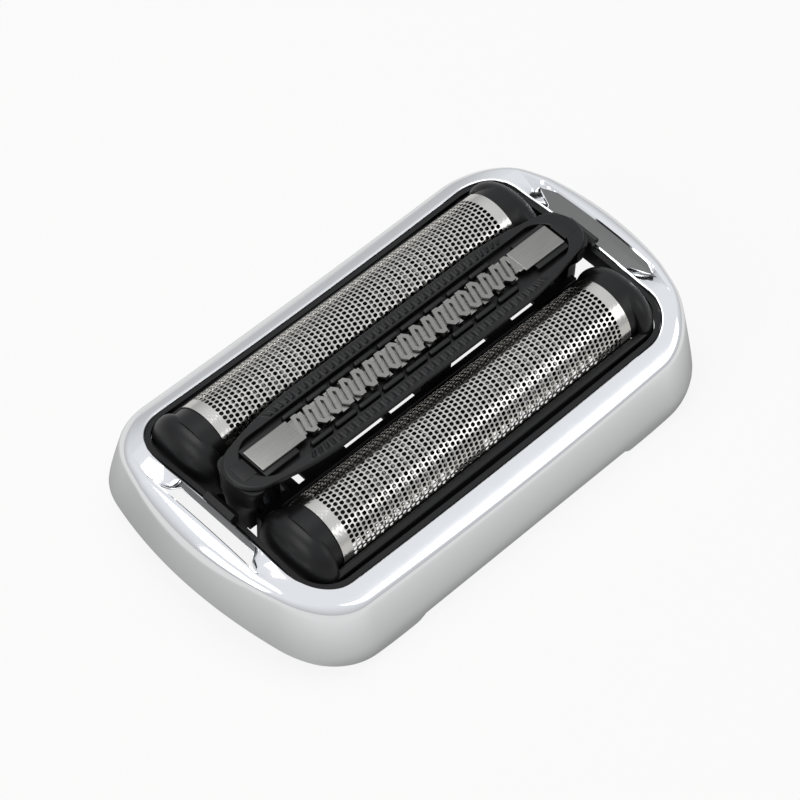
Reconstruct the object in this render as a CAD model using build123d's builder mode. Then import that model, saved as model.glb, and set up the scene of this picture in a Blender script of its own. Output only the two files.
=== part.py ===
import os
from math import sqrt
from build123d import *

# bright ring frame
FRAME_LENGTH = 62.0
FRAME_WIDTH = 36.2
FRAME_END_RADIUS = 45.0
TOP_END_RADIUS = 25.0
FRAME_CORNER_RADIUS = 8.3
FOOT_INSET = 0.25
TOP_INSET = 0.4
SIDE_LEAN = 3.1
WAIST_HEIGHT = 2.2
FRAME_WALL = 1.5
SHOULDER_BEVEL = 0.8
END_ARCH_START = 15.8
END_ARCH_RISE = 4.4
SADDLE_RADIUS = 506.0
CROWN_HEIGHT = 10.75
RIM_HEIGHT = 9.35
SHOULDER_INSET = 1.5
SHOULDER_HEIGHT = 7.8
CEILING_HEIGHT = 7.2
END_CEILING_HEIGHT = 9.9

# opening, end slots and foot recess of the ring
LEDGE_END = 5.3
LEDGE_SIDE = 3.9
OPENING_CORNER = 4.5
SLOT_LIP = 2.9
SLOT_SPAN = 1.6
SLOT_WIDE_WIDTH = 10.8
SLOT_TAIL_WIDTH = 17.6
SLOT_POCKET_MARGIN = 0.7
RECESS_LENGTH = 30.8
RECESS_HEIGHT = 1.2
RECESS_DEPTH = 0.25

# travel and clearances
CUTTER_STROKE = 1.1
BLADE_STROKE = 0.8
BODY_GAP = 0.3
SEAT_GAP = 0.05

# inner carrier
RIM_WALL = 0.55
RIM_DROP = 0.5
CARRIER_BOTTOM = 5.2
BRIDGE_THICKNESS = 0.8
BRIDGE_LENGTH = 4.2
BRIDGE_OVERHANG = 1.1
BEAM_INNER_Y = 1.8
BEAM_WALL = 0.7
BEAM_TOP = 8.8
SHELF_BOTTOM = 7.6
END_WALL_BOTTOM = 8.8
FLANGE_HEIGHT = 1.0
FLANGE_LENGTH = 38.0
FLANGE_REACH = 0.65
SHELF_LENGTH = 4.0
SHELF_THICKNESS = 0.6
WEB_LENGTH = 3.6
WEB_LEFT_X = -11.8
WEB_RIGHT_X = 12.2
RIB_WEB_X = -4.1
RIB_WEB_LENGTH = 0.8
LUG_WIDTH = 4.0
LUG_REACH = 0.5
LUG_THICKNESS = 0.44
LUG_CROWN = 0.74

# foil pods
POD_SIDE_GAP = 1.0
POD_MID_GAP = 2.9
POD_END_GAP = 1.0
POD_BOTTOM = 7.9
RAIL_TOP = 9.6
RAIL_ROUND = 0.45
NOSE_CENTRE_Z = 8.3
NOSE_BOTTOM = 8.2
NOSE_ROUND = 3.2
SILL_THICKNESS = 0.8
SILL_INSET = 0.5
TAB_LENGTH = 2.9
TAB_THICKNESS = 0.5
TAB_WIDTH = 3.0
LEG_WIDTH = 1.6
LEG_THICKNESS = 0.9
LEG_SETBACK = 1.1
BARB = 0.5

# foils and cutters
FOIL_INSET = 0.95
FOIL_THICKNESS = 0.15
FOIL_CENTRE_Z = 9.6
FOIL_END_GAP = 1.0
FOIL_LEG_BOTTOM = 8.4
FOIL_END_BAND = 3.7
HOLE_SIDE = 0.4
HOLE_COLUMNS = 11
HOLE_ROW_TILT = 46
BLADE_DEPTH = 1.0
BLADE_THICKNESS = 0.4
BLADE_END_BAND = 3.1
BLADE_COUNT = 12
BLADE_SIDES = 12
SOCKET_RADIUS = 1.5
SOCKET_WALL = 0.9
SOCKET_BOTTOM = 4.6
SOCKET_DEPTH = 3.4

# trimmer
TRIM_HALF_WIDTH = 4.4
TRIM_END_GAP = 1.3
TRIM_TAPER_LENGTH = 11.4
TRIM_NOSE_LENGTH = 2.8
TRIM_SHOULDER_Y = 3.1
TRIM_BULGE = 0.25
TRIM_TOP = 15.0
TRIM_EDGE = 0.6
TRIM_HULL = 1.4
TRIM_HULL_TAPER = 40
CHANNEL_HALF_WIDTH = 2.9
CHANNEL_DEPTH = 0.8
CHANNEL_END_WALL = 2.2
RIB_PITCH = 1.9
RIB_COUNT = 14
RIB_WIDTH = 0.8
RIB_LENGTH = 1.1
RIB_HEIGHT = 0.25
RIB_MARGIN = 0.1
POST_SETBACK = 1.1
POST_LENGTH = 2.0
POST_BOTTOM = 7.9
HOOK_HEIGHT = 0.6
HOOK_REACH = 0.5
PAD_SETBACK = 3.9
PAD_LENGTH = 3.4
PAD_BOTTOM = 11.2
GUARD_TOP = 15.1
GUARD_THICKNESS = 0.3
GUARD_END_WALL = 3.1
GUARD_PLATE_LENGTH = 5.7
GUARD_HALF_WIDTH = 1.48
COMB_FINGERS = 19
COMB_REACH = 1.75
COMB_BAND = 0.45
COMB_FLAT = 0.28
COMB_LEAN = 0.22
BED_HALF_WIDTH = 2.1
TRIM_BLADE_THICKNESS = 0.3
TRIM_BLADE_DROP = 0.1
TRIM_BLADE_SPINE = 0.8
TRIM_BLADE_REACH = 1.5
TRIM_TOOTH_PITCH = 2.0
TRIM_TOOTH_WIDTH = 0.9
TRIM_TOOTH_COUNT = 15
SLIDER_X = 3.1
SLIDER_LENGTH = 4.4
SLIDER_WIDTH = 2.4
SLIDER_BOTTOM = 6.0
SLIDER_SOCKET_RADIUS = 0.8
SLIDER_SOCKET_DEPTH = 4.0

# leaf springs
SPRING_THICKNESS = 0.2
SPRING_WIDTH = 2.2
SPRING_HALF_SPAN = 1.35
SPRING_FOOT = 0.55
SPRING_CROWN = 0.25

# sizes that follow from the ones above
OPENING_LENGTH = FRAME_LENGTH - 2 * LEDGE_END
OPENING_WIDTH = FRAME_WIDTH - 2 * LEDGE_SIDE
HALF_L = OPENING_LENGTH / 2
HALF_W = OPENING_WIDTH / 2
SHOULDER_Y = FRAME_WIDTH / 2 - SHOULDER_INSET
SLOT_OUTER_X = FRAME_LENGTH / 2 - SLOT_LIP
SLOT_INNER_X = SLOT_OUTER_X - SLOT_SPAN
END_POCKET_WIDTH = SLOT_TAIL_WIDTH + 2 * SLOT_POCKET_MARGIN
RIM_OUT_L = OPENING_LENGTH - 2 * SEAT_GAP
RIM_OUT_W = OPENING_WIDTH - 2 * SEAT_GAP
BEAM_OUTER_Y = BEAM_INNER_Y + BEAM_WALL
BRIDGE_TOP = CARRIER_BOTTOM + BRIDGE_THICKNESS
POD_HALF_WIDTH = (HALF_W - POD_SIDE_GAP - POD_MID_GAP) / 2
POD_Y = POD_MID_GAP + POD_HALF_WIDTH
POD_HALF_LENGTH = HALF_L - POD_END_GAP
MOUTH_X = POD_HALF_LENGTH - NOSE_ROUND
TAB_INNER_X = MOUTH_X - TAB_LENGTH
LEG_X = MOUTH_X - LEG_SETBACK
LEG_Y = POD_Y + POD_HALF_WIDTH - LEG_THICKNESS / 2
LEG_BOTTOM = CARRIER_BOTTOM - BODY_GAP - BARB
BRIDGE_OUTER_X = MOUTH_X + BRIDGE_OVERHANG
BRIDGE_INNER_X = BRIDGE_OUTER_X - BRIDGE_LENGTH
BRIDGE_X = (BRIDGE_INNER_X + BRIDGE_OUTER_X) / 2
FOIL_RADIUS = POD_HALF_WIDTH - FOIL_INSET
FOIL_HALF_LENGTH = MOUTH_X - FOIL_END_GAP
HOLE_PITCH = 2 * (FOIL_HALF_LENGTH - FOIL_END_BAND) / (HOLE_COLUMNS - 1)
BLADE_RADIUS = FOIL_RADIUS - FOIL_THICKNESS - BODY_GAP
BAR_HALF_LENGTH = MOUTH_X - CUTTER_STROKE - BODY_GAP
BLADE_PITCH = 2 * (BAR_HALF_LENGTH - BLADE_END_BAND) / (BLADE_COUNT - 1)
BAR_BOTTOM = POD_BOTTOM + TAB_THICKNESS + BODY_GAP
TRIM_HALF_LENGTH = HALF_L - TRIM_END_GAP
TRIM_STRAIGHT = TRIM_HALF_LENGTH - TRIM_TAPER_LENGTH
TRIM_SHOULDER_X = TRIM_HALF_LENGTH - TRIM_NOSE_LENGTH
CHANNEL_HALF_LENGTH = TRIM_HALF_LENGTH - CHANNEL_END_WALL
POST_X = TRIM_HALF_LENGTH - POST_SETBACK
POST_WIDTH = 2 * (BEAM_INNER_Y - BODY_GAP)
PAD_X = POST_X - PAD_SETBACK
GUARD_HALF_LENGTH = TRIM_HALF_LENGTH - GUARD_END_WALL
GUARD_PLATE_INNER = GUARD_HALF_LENGTH - GUARD_PLATE_LENGTH
BED_TOP = GUARD_TOP - GUARD_THICKNESS
FLOOR = TRIM_TOP - CHANNEL_DEPTH
BLADE_TOP_Z = BED_TOP - TRIM_BLADE_DROP
HULL_BOTTOM = TRIM_TOP - TRIM_EDGE - TRIM_HULL
EDGE_BOTTOM = TRIM_TOP - TRIM_EDGE
EPS = 0.2


def frame_plan(inset, side_inset, end_radius=FRAME_END_RADIUS):
    """Plan of the ring: straight sides, round corners and gently bowed ends, moved in at ends and sides."""
    half_l = FRAME_LENGTH / 2 - inset
    half_w = FRAME_WIDTH / 2 - side_inset
    r_end = end_radius - inset
    r_cor = FRAME_CORNER_RADIUS - inset
    end_c = half_l - r_end
    cor_y = half_w - r_cor
    cor_x = end_c + sqrt((r_end - r_cor) ** 2 - cor_y ** 2)
    k = r_end / (r_end - r_cor)
    tx, ty = end_c + (cor_x - end_c) * k, cor_y * k
    s = r_cor * sqrt(0.5)
    with BuildSketch() as plan:
        with BuildLine():
            Line((-cor_x, half_w), (cor_x, half_w))
            ThreePointArc((cor_x, half_w), (cor_x + s, cor_y + s), (tx, ty))
            ThreePointArc((tx, ty), (half_l, 0), (tx, -ty))
            ThreePointArc((tx, -ty), (cor_x + s, -cor_y - s), (cor_x, -half_w))
            Line((cor_x, -half_w), (-cor_x, -half_w))
            ThreePointArc((-cor_x, -half_w), (-cor_x - s, -cor_y - s), (-tx, -ty))
            ThreePointArc((-tx, -ty), (-half_l, 0), (-tx, ty))
            ThreePointArc((-tx, ty), (-cor_x - s, cor_y + s), (-cor_x, half_w))
        make_face()
    return plan.sketch


def saddle(drop):
    """Solid under the saddle-shaped top, lowered by drop: a roof profile carried along a shallow arc."""
    reach = FRAME_LENGTH / 2 + 4
    rise = SADDLE_RADIUS - sqrt(SADDLE_RADIUS ** 2 - reach ** 2)
    slope = (RIM_HEIGHT - SHOULDER_HEIGHT) / (SHOULDER_Y - HALF_W)
    far = FRAME_WIDTH / 2 + 3
    low = SHOULDER_HEIGHT - (far - SHOULDER_Y) * slope
    with BuildPart() as roof:
        with BuildLine() as arc:
            ThreePointArc((-reach, 0, rise), (0, 0, 0), (reach, 0, rise))
        path = arc.line
        with BuildSketch(Plane(origin=path @ 0, x_dir=(0, 1, 0), z_dir=path % 0)):
            with BuildLine():
                ThreePointArc(
                    (-HALF_W, RIM_HEIGHT - drop), (0, CROWN_HEIGHT - drop), (HALF_W, RIM_HEIGHT - drop)
                )
                Polyline(
                    (HALF_W, RIM_HEIGHT - drop), (far, low - drop), (far, -3),
                    (-far, -3), (-far, low - drop), (-HALF_W, RIM_HEIGHT - drop),
                )
            make_face()
        sweep(path=path)
    return roof.part


with BuildPart() as chrome_frame:
    with BuildSketch(Plane.XY):
        add(frame_plan(FOOT_INSET, FOOT_INSET))
    with BuildSketch(Plane.XY.offset(WAIST_HEIGHT)):
        add(frame_plan(0, 0))
    with BuildSketch(Plane.XY.offset(CROWN_HEIGHT + 3)):
        add(frame_plan(TOP_INSET, SIDE_LEAN, TOP_END_RADIUS))
    loft(ruled=True)
    add(saddle(0), mode=Mode.INTERSECT)
    top_edges = [e for e in chrome_frame.edges() if e.center().Z > SHOULDER_HEIGHT - 1]
    rim_edges = [e for e in top_edges if abs(e.center().Y) > HALF_W + 0.5 or abs(e.center().X) > HALF_L]
    chamfer(rim_edges, SHOULDER_BEVEL)
    with BuildSketch(Plane.XY):
        add(frame_plan(FOOT_INSET + FRAME_WALL, SHOULDER_INSET + FRAME_WALL))
    extrude(amount=CEILING_HEIGHT, mode=Mode.SUBTRACT)
    with BuildSketch(Plane.XY):
        add(frame_plan(TOP_INSET + FRAME_WALL, SHOULDER_INSET + FRAME_WALL))
        Rectangle(FRAME_LENGTH, END_POCKET_WIDTH, mode=Mode.INTERSECT)
        Rectangle(2 * HALF_L - EPS, END_POCKET_WIDTH, mode=Mode.SUBTRACT)
    extrude(amount=END_CEILING_HEIGHT, mode=Mode.SUBTRACT)
    with BuildSketch(Plane.XY):
        RectangleRounded(OPENING_LENGTH, OPENING_WIDTH, OPENING_CORNER)
    extrude(amount=2 * CROWN_HEIGHT, mode=Mode.SUBTRACT)
    tail_x = SLOT_OUTER_X - SLOT_SPAN / 2
    tip_x = SLOT_OUTER_X - SLOT_SPAN / 8
    tail_y = (SLOT_WIDE_WIDTH + SLOT_SPAN) / 2
    with BuildSketch(Plane.XY.offset(CEILING_HEIGHT)):
        for side in (-1, 1):
            with BuildLine():
                Polyline(
                    (side * SLOT_INNER_X, -SLOT_WIDE_WIDTH / 2),
                    (side * tail_x, -tail_y),
                    (side * tip_x, -SLOT_TAIL_WIDTH / 2),
                    (side * SLOT_OUTER_X, -SLOT_TAIL_WIDTH / 2),
                    (side * SLOT_OUTER_X, SLOT_TAIL_WIDTH / 2),
                    (side * tip_x, SLOT_TAIL_WIDTH / 2),
                    (side * tail_x, tail_y),
                    (side * SLOT_INNER_X, SLOT_WIDE_WIDTH / 2),
                    close=True,
                )
            make_face()
    extrude(amount=CROWN_HEIGHT, mode=Mode.SUBTRACT)
    arch_end = FRAME_LENGTH / 2 + 1
    with BuildSketch(Plane.XZ):
        for end in (-1, 1):
            with BuildLine():
                ThreePointArc(
                    (end * END_ARCH_START, 0),
                    (end * (END_ARCH_START + arch_end) / 2, END_ARCH_RISE / 4),
                    (end * arch_end, END_ARCH_RISE),
                )
                Polyline((end * arch_end, END_ARCH_RISE), (end * arch_end, -1),
                         (end * END_ARCH_START, -1), (end * END_ARCH_START, 0))
            make_face()
    extrude(amount=FRAME_WIDTH, both=True, mode=Mode.SUBTRACT)
    with BuildSketch(Plane.XZ) as recess:
        with BuildLine():
            Polyline(
                (-RECESS_LENGTH / 2, -RECESS_HEIGHT), (-RECESS_LENGTH / 2, 0),
                (RECESS_HEIGHT - RECESS_LENGTH / 2, RECESS_HEIGHT),
                (RECESS_LENGTH / 2 - RECESS_HEIGHT, RECESS_HEIGHT),
                (RECESS_LENGTH / 2, 0), (RECESS_LENGTH / 2, -RECESS_HEIGHT),
                close=True,
            )
        make_face()
    skirt = FRAME_WIDTH / 2 - FOOT_INSET - RECESS_DEPTH
    for side in (-1, 1):
        extrude(recess.sketch.moved(Location((0, side * (skirt + FRAME_WALL), 0))), amount=FRAME_WALL,
                both=True, mode=Mode.SUBTRACT)
chrome_frame.part.label = "chrome_frame"


with BuildPart() as inner_carrier:
    with BuildSketch(Plane.XY.offset(CARRIER_BOTTOM)):
        RectangleRounded(RIM_OUT_L, RIM_OUT_W, OPENING_CORNER - SEAT_GAP)
        RectangleRounded(RIM_OUT_L - 2 * RIM_WALL, RIM_OUT_W - 2 * RIM_WALL,
                         OPENING_CORNER - SEAT_GAP - RIM_WALL, mode=Mode.SUBTRACT)
    extrude(amount=CROWN_HEIGHT)
    add(saddle(RIM_DROP), mode=Mode.INTERSECT)
    with BuildSketch(Plane.XY.offset(CARRIER_BOTTOM)):
        for side in (-1, 1):
            with Locations((side * (BRIDGE_OUTER_X + HALF_L) / 2, 0)):
                Rectangle(HALF_L - BRIDGE_OUTER_X, OPENING_WIDTH)
    extrude(amount=END_WALL_BOTTOM - CARRIER_BOTTOM, mode=Mode.SUBTRACT)
    with BuildSketch(Plane.XY.offset(CARRIER_BOTTOM)):
        with Locations((BRIDGE_X, 0), (-BRIDGE_X, 0)):
            Rectangle(BRIDGE_LENGTH, RIM_OUT_W)
            Rectangle(BRIDGE_LENGTH, 2 * BEAM_INNER_Y, mode=Mode.SUBTRACT)
    extrude(amount=BRIDGE_THICKNESS)
    with BuildSketch(Plane.XY.offset(CARRIER_BOTTOM)):
        for side in (-1, 1):
            with Locations((0, side * (BEAM_INNER_Y + BEAM_OUTER_Y) / 2)):
                Rectangle(2 * BRIDGE_OUTER_X, BEAM_WALL)
    extrude(amount=BEAM_TOP - CARRIER_BOTTOM)
    with BuildSketch(Plane.XY.offset(SHELF_BOTTOM)):
        with Locations((-PAD_X, 0), (PAD_X, 0)):
            Rectangle(SHELF_LENGTH, BEAM_INNER_Y + BEAM_OUTER_Y)
        with Locations((WEB_LEFT_X, 0), (WEB_RIGHT_X, 0)):
            Rectangle(WEB_LENGTH, BEAM_INNER_Y + BEAM_OUTER_Y)
        with Locations((RIB_WEB_X, 0)):
            Rectangle(RIB_WEB_LENGTH, BEAM_INNER_Y + BEAM_OUTER_Y)
    extrude(amount=SHELF_THICKNESS)
    with BuildSketch(Plane.XY.offset(CEILING_HEIGHT - SEAT_GAP - FLANGE_HEIGHT)):
        for side in (-1, 1):
            with Locations((0, side * (HALF_W - SEAT_GAP - RIM_WALL + FLANGE_REACH))):
                Rectangle(FLANGE_LENGTH, 2 * FLANGE_REACH)
    extrude(amount=FLANGE_HEIGHT)
    with BuildSketch(Plane.XY.offset(CARRIER_BOTTOM)):
        for side in (-1, 1):
            for end in (-1, 1):
                with Locations((end * (LEG_X + BARB / 2), side * LEG_Y)):
                    Rectangle(LEG_WIDTH + BARB + 2 * BODY_GAP, LEG_THICKNESS + 2 * BODY_GAP)
    extrude(amount=BRIDGE_THICKNESS, mode=Mode.SUBTRACT)
    lug_low = CROWN_HEIGHT + HALF_L ** 2 / (2 * SADDLE_RADIUS) + SEAT_GAP
    lug_tip = HALF_L + LUG_REACH
    with BuildSketch(Plane.XZ):
        for end in (-1, 1):
            with BuildLine():
                Polyline(
                    (end * (HALF_L - SEAT_GAP - RIM_WALL), END_WALL_BOTTOM),
                    (end * (HALF_L - SEAT_GAP - RIM_WALL), lug_low + LUG_THICKNESS),
                    (end * (HALF_L - 2 * SEAT_GAP), lug_low + LUG_CROWN),
                    (end * lug_tip, lug_low + LUG_THICKNESS), (end * lug_tip, lug_low),
                    (end * (HALF_L - SEAT_GAP), lug_low), (end * (HALF_L - SEAT_GAP), END_WALL_BOTTOM),
                    close=True,
                )
            make_face()
    extrude(amount=LUG_WIDTH / 2, both=True)
inner_carrier.part.label = "inner_carrier"


def pod(side):
    """Black foil pod: two rails, two domed noses, cutter tabs and hooked guide legs."""
    cy = side * POD_Y
    with BuildPart() as body:
        with BuildSketch(Plane.YZ):
            with Locations((cy, NOSE_CENTRE_Z)):
                Circle(POD_HALF_WIDTH)
        extrude(amount=POD_HALF_LENGTH, both=True)
        with BuildSketch(Plane.XY):
            with Locations((0, cy)):
                RectangleRounded(2 * POD_HALF_LENGTH, 2 * POD_HALF_WIDTH, NOSE_ROUND)
        extrude(amount=2 * RAIL_TOP, mode=Mode.INTERSECT)
        with BuildSketch(Plane.XZ):
            with Locations((0, NOSE_CENTRE_Z)):
                RectangleRounded(2 * POD_HALF_LENGTH, 2 * POD_HALF_WIDTH, NOSE_ROUND)
        extrude(amount=4 * POD_Y, both=True, mode=Mode.INTERSECT)
        with Locations((0, cy, 0)):
            Box(4 * MOUTH_X, 4 * POD_HALF_WIDTH, 2 * NOSE_BOTTOM, mode=Mode.SUBTRACT)
        with Locations((0, cy, RAIL_TOP)):
            Box(2 * MOUTH_X, 4 * POD_HALF_WIDTH, 4 * POD_HALF_WIDTH, mode=Mode.SUBTRACT)
        rail_wall = POD_HALF_WIDTH - FOIL_RADIUS - SEAT_GAP
        with BuildSketch(Plane.YZ) as rails:
            for hand in (-1, 1):
                with Locations((cy + hand * (POD_HALF_WIDTH - rail_wall / 2), (RAIL_TOP + POD_BOTTOM) / 2)):
                    Rectangle(rail_wall, RAIL_TOP - POD_BOTTOM)
            outer = [v for v in rails.vertices() if abs(v.Y - cy) > POD_HALF_WIDTH - rail_wall / 2]
            fillet([v for v in outer if v.Z > NOSE_BOTTOM], RAIL_ROUND)
        extrude(amount=MOUTH_X, both=True)
        with BuildSketch(Plane.XY.offset(POD_BOTTOM)):
            for end in (-1, 1):
                with Locations((end * (MOUTH_X + SILL_THICKNESS / 2), cy)):
                    Rectangle(SILL_THICKNESS, 2 * (POD_HALF_WIDTH - SILL_INSET))
        extrude(amount=NOSE_BOTTOM - POD_BOTTOM + EPS)
        with BuildSketch(Plane.XY.offset(POD_BOTTOM)):
            for end in (-1, 1):
                with Locations((end * (TAB_INNER_X + MOUTH_X + EPS) / 2, cy)):
                    Rectangle(TAB_LENGTH + EPS, TAB_WIDTH)
        extrude(amount=TAB_THICKNESS)
        for end in (-1, 1):
            with BuildSketch(Plane.XY.offset(LEG_BOTTOM)):
                with Locations((end * LEG_X, side * LEG_Y)):
                    Rectangle(LEG_WIDTH, LEG_THICKNESS)
            extrude(amount=POD_BOTTOM - LEG_BOTTOM + EPS)
            with BuildSketch(Plane.XY.offset(LEG_BOTTOM)):
                with Locations((end * (LEG_X + (LEG_WIDTH + BARB) / 2), side * LEG_Y)):
                    Rectangle(BARB, LEG_THICKNESS)
            extrude(amount=BARB)
    return body.part


def foil(side):
    """Arched sheet with straight legs and a staggered field of holes between two plain end bands."""
    cy = side * POD_Y
    inner = FOIL_RADIUS - FOIL_THICKNESS
    with BuildPart() as sheet:
        with BuildSketch(Plane.YZ):
            with Locations((cy, FOIL_CENTRE_Z)):
                Circle(FOIL_RADIUS)
                with Locations((0, -FOIL_RADIUS / 2)):
                    Rectangle(2 * FOIL_RADIUS, FOIL_RADIUS)
                Circle(inner, mode=Mode.SUBTRACT)
                with Locations((0, -FOIL_RADIUS)):
                    Rectangle(2 * inner, 2 * FOIL_RADIUS, mode=Mode.SUBTRACT)
            with Locations((cy, FOIL_LEG_BOTTOM - FOIL_RADIUS)):
                Rectangle(4 * FOIL_RADIUS, 2 * FOIL_RADIUS, mode=Mode.SUBTRACT)
        extrude(amount=FOIL_HALF_LENGTH, both=True)
        for row, tilt in enumerate((-HOLE_ROW_TILT, 0, HOLE_ROW_TILT)):
            count = HOLE_COLUMNS - row % 2
            crown = Plane(
                origin=(0, cy, FOIL_CENTRE_Z), x_dir=(1, 0, 0),
                z_dir=Vector(0, 0, 1).rotate(Axis.X, tilt),
            ).offset(inner - EPS)
            with BuildSketch(crown):
                with GridLocations(HOLE_PITCH, 1, count, 1):
                    Rectangle(HOLE_SIDE, HOLE_SIDE)
            extrude(amount=FOIL_THICKNESS + 2 * EPS, mode=Mode.SUBTRACT)
    return sheet.part


def cutter_bar(side):
    """Round-backed bar with a drive socket that opens downward."""
    cy = side * POD_Y
    top = BLADE_RADIUS - BLADE_DEPTH - SEAT_GAP
    with BuildPart() as bar:
        with BuildSketch(Plane.YZ):
            with Locations((cy, FOIL_CENTRE_Z)):
                Circle(top)
                with Locations((0, BAR_BOTTOM - FOIL_CENTRE_Z - top)):
                    Rectangle(4 * top, 2 * top, mode=Mode.SUBTRACT)
        extrude(amount=BAR_HALF_LENGTH, both=True)
        with Locations((0, cy, SOCKET_BOTTOM)):
            Cylinder(SOCKET_RADIUS + SOCKET_WALL, BAR_BOTTOM - SOCKET_BOTTOM + EPS,
                     align=(Align.CENTER, Align.CENTER, Align.MIN))
            Cylinder(SOCKET_RADIUS, SOCKET_DEPTH, align=(Align.CENTER, Align.CENTER, Align.MIN),
                     mode=Mode.SUBTRACT)
    return bar.part


def cutter_blades(side):
    """Row of thin arched blades that sit on the bar."""
    cy = side * POD_Y
    with BuildPart() as blades:
        with BuildSketch(Plane.YZ.offset(-BLADE_THICKNESS / 2)) as arch:
            with Locations((cy, FOIL_CENTRE_Z)):
                RegularPolygon(BLADE_RADIUS, BLADE_SIDES)
                RegularPolygon(BLADE_RADIUS - BLADE_DEPTH, BLADE_SIDES, major_radius=False,
                               mode=Mode.SUBTRACT)
                with Locations((0, -BLADE_RADIUS)):
                    Rectangle(4 * BLADE_RADIUS, 2 * BLADE_RADIUS, mode=Mode.SUBTRACT)
        for n in range(BLADE_COUNT):
            x = (n - (BLADE_COUNT - 1) / 2) * BLADE_PITCH
            extrude(arch.sketch.moved(Location((x, 0, 0))), amount=BLADE_THICKNESS)
    return blades.part


def leaf(x, y, low, high, name):
    """Bowed leaf spring between the heights low and high, with flat feet."""
    end, foot, crown = (SPRING_HALF_SPAN * k for k in (1, SPRING_FOOT, SPRING_CROWN))
    t = SPRING_THICKNESS
    lean = 0.4 * t
    half = [(end, low), (foot, low), (crown, high - t), (-crown, high - t), (-foot, low), (-end, low)]
    back = [(-end, low + t), (-foot - lean, low + t), (-crown - lean, high), (crown + lean, high),
            (foot + lean, low + t), (end, low + t)]
    with BuildPart() as spring:
        with BuildSketch(Plane.XZ.offset(-y)):
            with BuildLine():
                Polyline(*[(x + dx, z) for dx, z in half + back], close=True)
            make_face()
        extrude(amount=SPRING_WIDTH / 2, both=True)
    spring.part.label = name
    return spring.part


def trimmer_plan():
    """Boat-shaped plan of the trimmer."""
    mid_x = (TRIM_STRAIGHT + TRIM_SHOULDER_X) / 2
    mid_y = (TRIM_HALF_WIDTH + TRIM_SHOULDER_Y) / 2 + TRIM_BULGE
    with BuildSketch() as plan:
        with BuildLine():
            for hand in (-1, 1):
                Line((-TRIM_STRAIGHT, hand * TRIM_HALF_WIDTH), (TRIM_STRAIGHT, hand * TRIM_HALF_WIDTH))
                for end in (-1, 1):
                    ThreePointArc(
                        (end * TRIM_STRAIGHT, hand * TRIM_HALF_WIDTH), (end * mid_x, hand * mid_y),
                        (end * TRIM_SHOULDER_X, hand * TRIM_SHOULDER_Y),
                    )
            for end in (-1, 1):
                ThreePointArc(
                    (end * TRIM_SHOULDER_X, TRIM_SHOULDER_Y), (end * TRIM_HALF_LENGTH, 0),
                    (end * TRIM_SHOULDER_X, -TRIM_SHOULDER_Y),
                )
        make_face()
    return plan.sketch


with BuildPart() as trimmer_body:
    with BuildSketch(Plane.XY.offset(EDGE_BOTTOM)):
        add(trimmer_plan())
    extrude(amount=TRIM_EDGE)
    with BuildSketch(Plane.XY.offset(EDGE_BOTTOM)):
        add(trimmer_plan())
    extrude(amount=-TRIM_HULL, taper=TRIM_HULL_TAPER)
    with BuildSketch(Plane.XY.offset(FLOOR)):
        SlotOverall(2 * CHANNEL_HALF_LENGTH, 2 * CHANNEL_HALF_WIDTH)
    extrude(amount=CHANNEL_DEPTH, mode=Mode.SUBTRACT)
    with BuildSketch(Plane.XY.offset(FLOOR)):
        Rectangle(2 * GUARD_HALF_LENGTH, 2 * BED_HALF_WIDTH)
    extrude(amount=BED_TOP - FLOOR)
    pocket_low = BLADE_TOP_Z - TRIM_BLADE_THICKNESS - BODY_GAP
    with BuildSketch(Plane.XY.offset(pocket_low)):
        Rectangle(2 * (GUARD_PLATE_INNER + BLADE_STROKE + BODY_GAP), 2 * (TRIM_BLADE_REACH + BODY_GAP))
    extrude(amount=TRIM_HULL, mode=Mode.SUBTRACT)
    with BuildSketch(Plane.XY.offset(HULL_BOTTOM)):
        with Locations((SLIDER_X, 0)):
            Rectangle(SLIDER_LENGTH + 2 * BLADE_STROKE + 2 * BODY_GAP, SLIDER_WIDTH + 2 * BODY_GAP)
    extrude(amount=TRIM_EDGE + TRIM_HULL, mode=Mode.SUBTRACT)
    with BuildSketch(Plane.XY.offset(TRIM_TOP)):
        for side in (-1, 1):
            with Locations((0, side * (TRIM_HALF_WIDTH - RIB_MARGIN - RIB_LENGTH / 2))):
                with GridLocations(RIB_PITCH, 1, RIB_COUNT, 1):
                    Rectangle(RIB_WIDTH, RIB_LENGTH)
    extrude(amount=-RIB_HEIGHT, mode=Mode.SUBTRACT)
    with BuildSketch(Plane.XY.offset(POST_BOTTOM)):
        with Locations((-POST_X, 0), (POST_X, 0)):
            Rectangle(POST_LENGTH, POST_WIDTH)
    extrude(amount=EDGE_BOTTOM - POST_BOTTOM)
    with BuildSketch(Plane.XY.offset(PAD_BOTTOM)):
        with Locations((-PAD_X, 0), (PAD_X, 0)):
            Rectangle(PAD_LENGTH, POST_WIDTH)
    extrude(amount=HULL_BOTTOM - PAD_BOTTOM + EPS)
    hook_low = SHELF_BOTTOM - BODY_GAP - HOOK_HEIGHT
    hook_inner = PAD_X + SHELF_LENGTH / 2 - HOOK_REACH
    post_inner = POST_X - POST_LENGTH / 2
    with BuildSketch(Plane.XZ):
        for end in (-1, 1):
            with BuildLine():
                Polyline(
                    (end * hook_inner, hook_low), (end * hook_inner, hook_low + HOOK_HEIGHT),
                    (end * post_inner, hook_low + HOOK_HEIGHT), (end * post_inner, POST_BOTTOM + EPS),
                    (end * POST_X, POST_BOTTOM + EPS), (end * POST_X, hook_low),
                    close=True,
                )
            make_face()
    extrude(amount=POST_WIDTH / 2, both=True)
trimmer_body.part.label = "trimmer_body"

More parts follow.
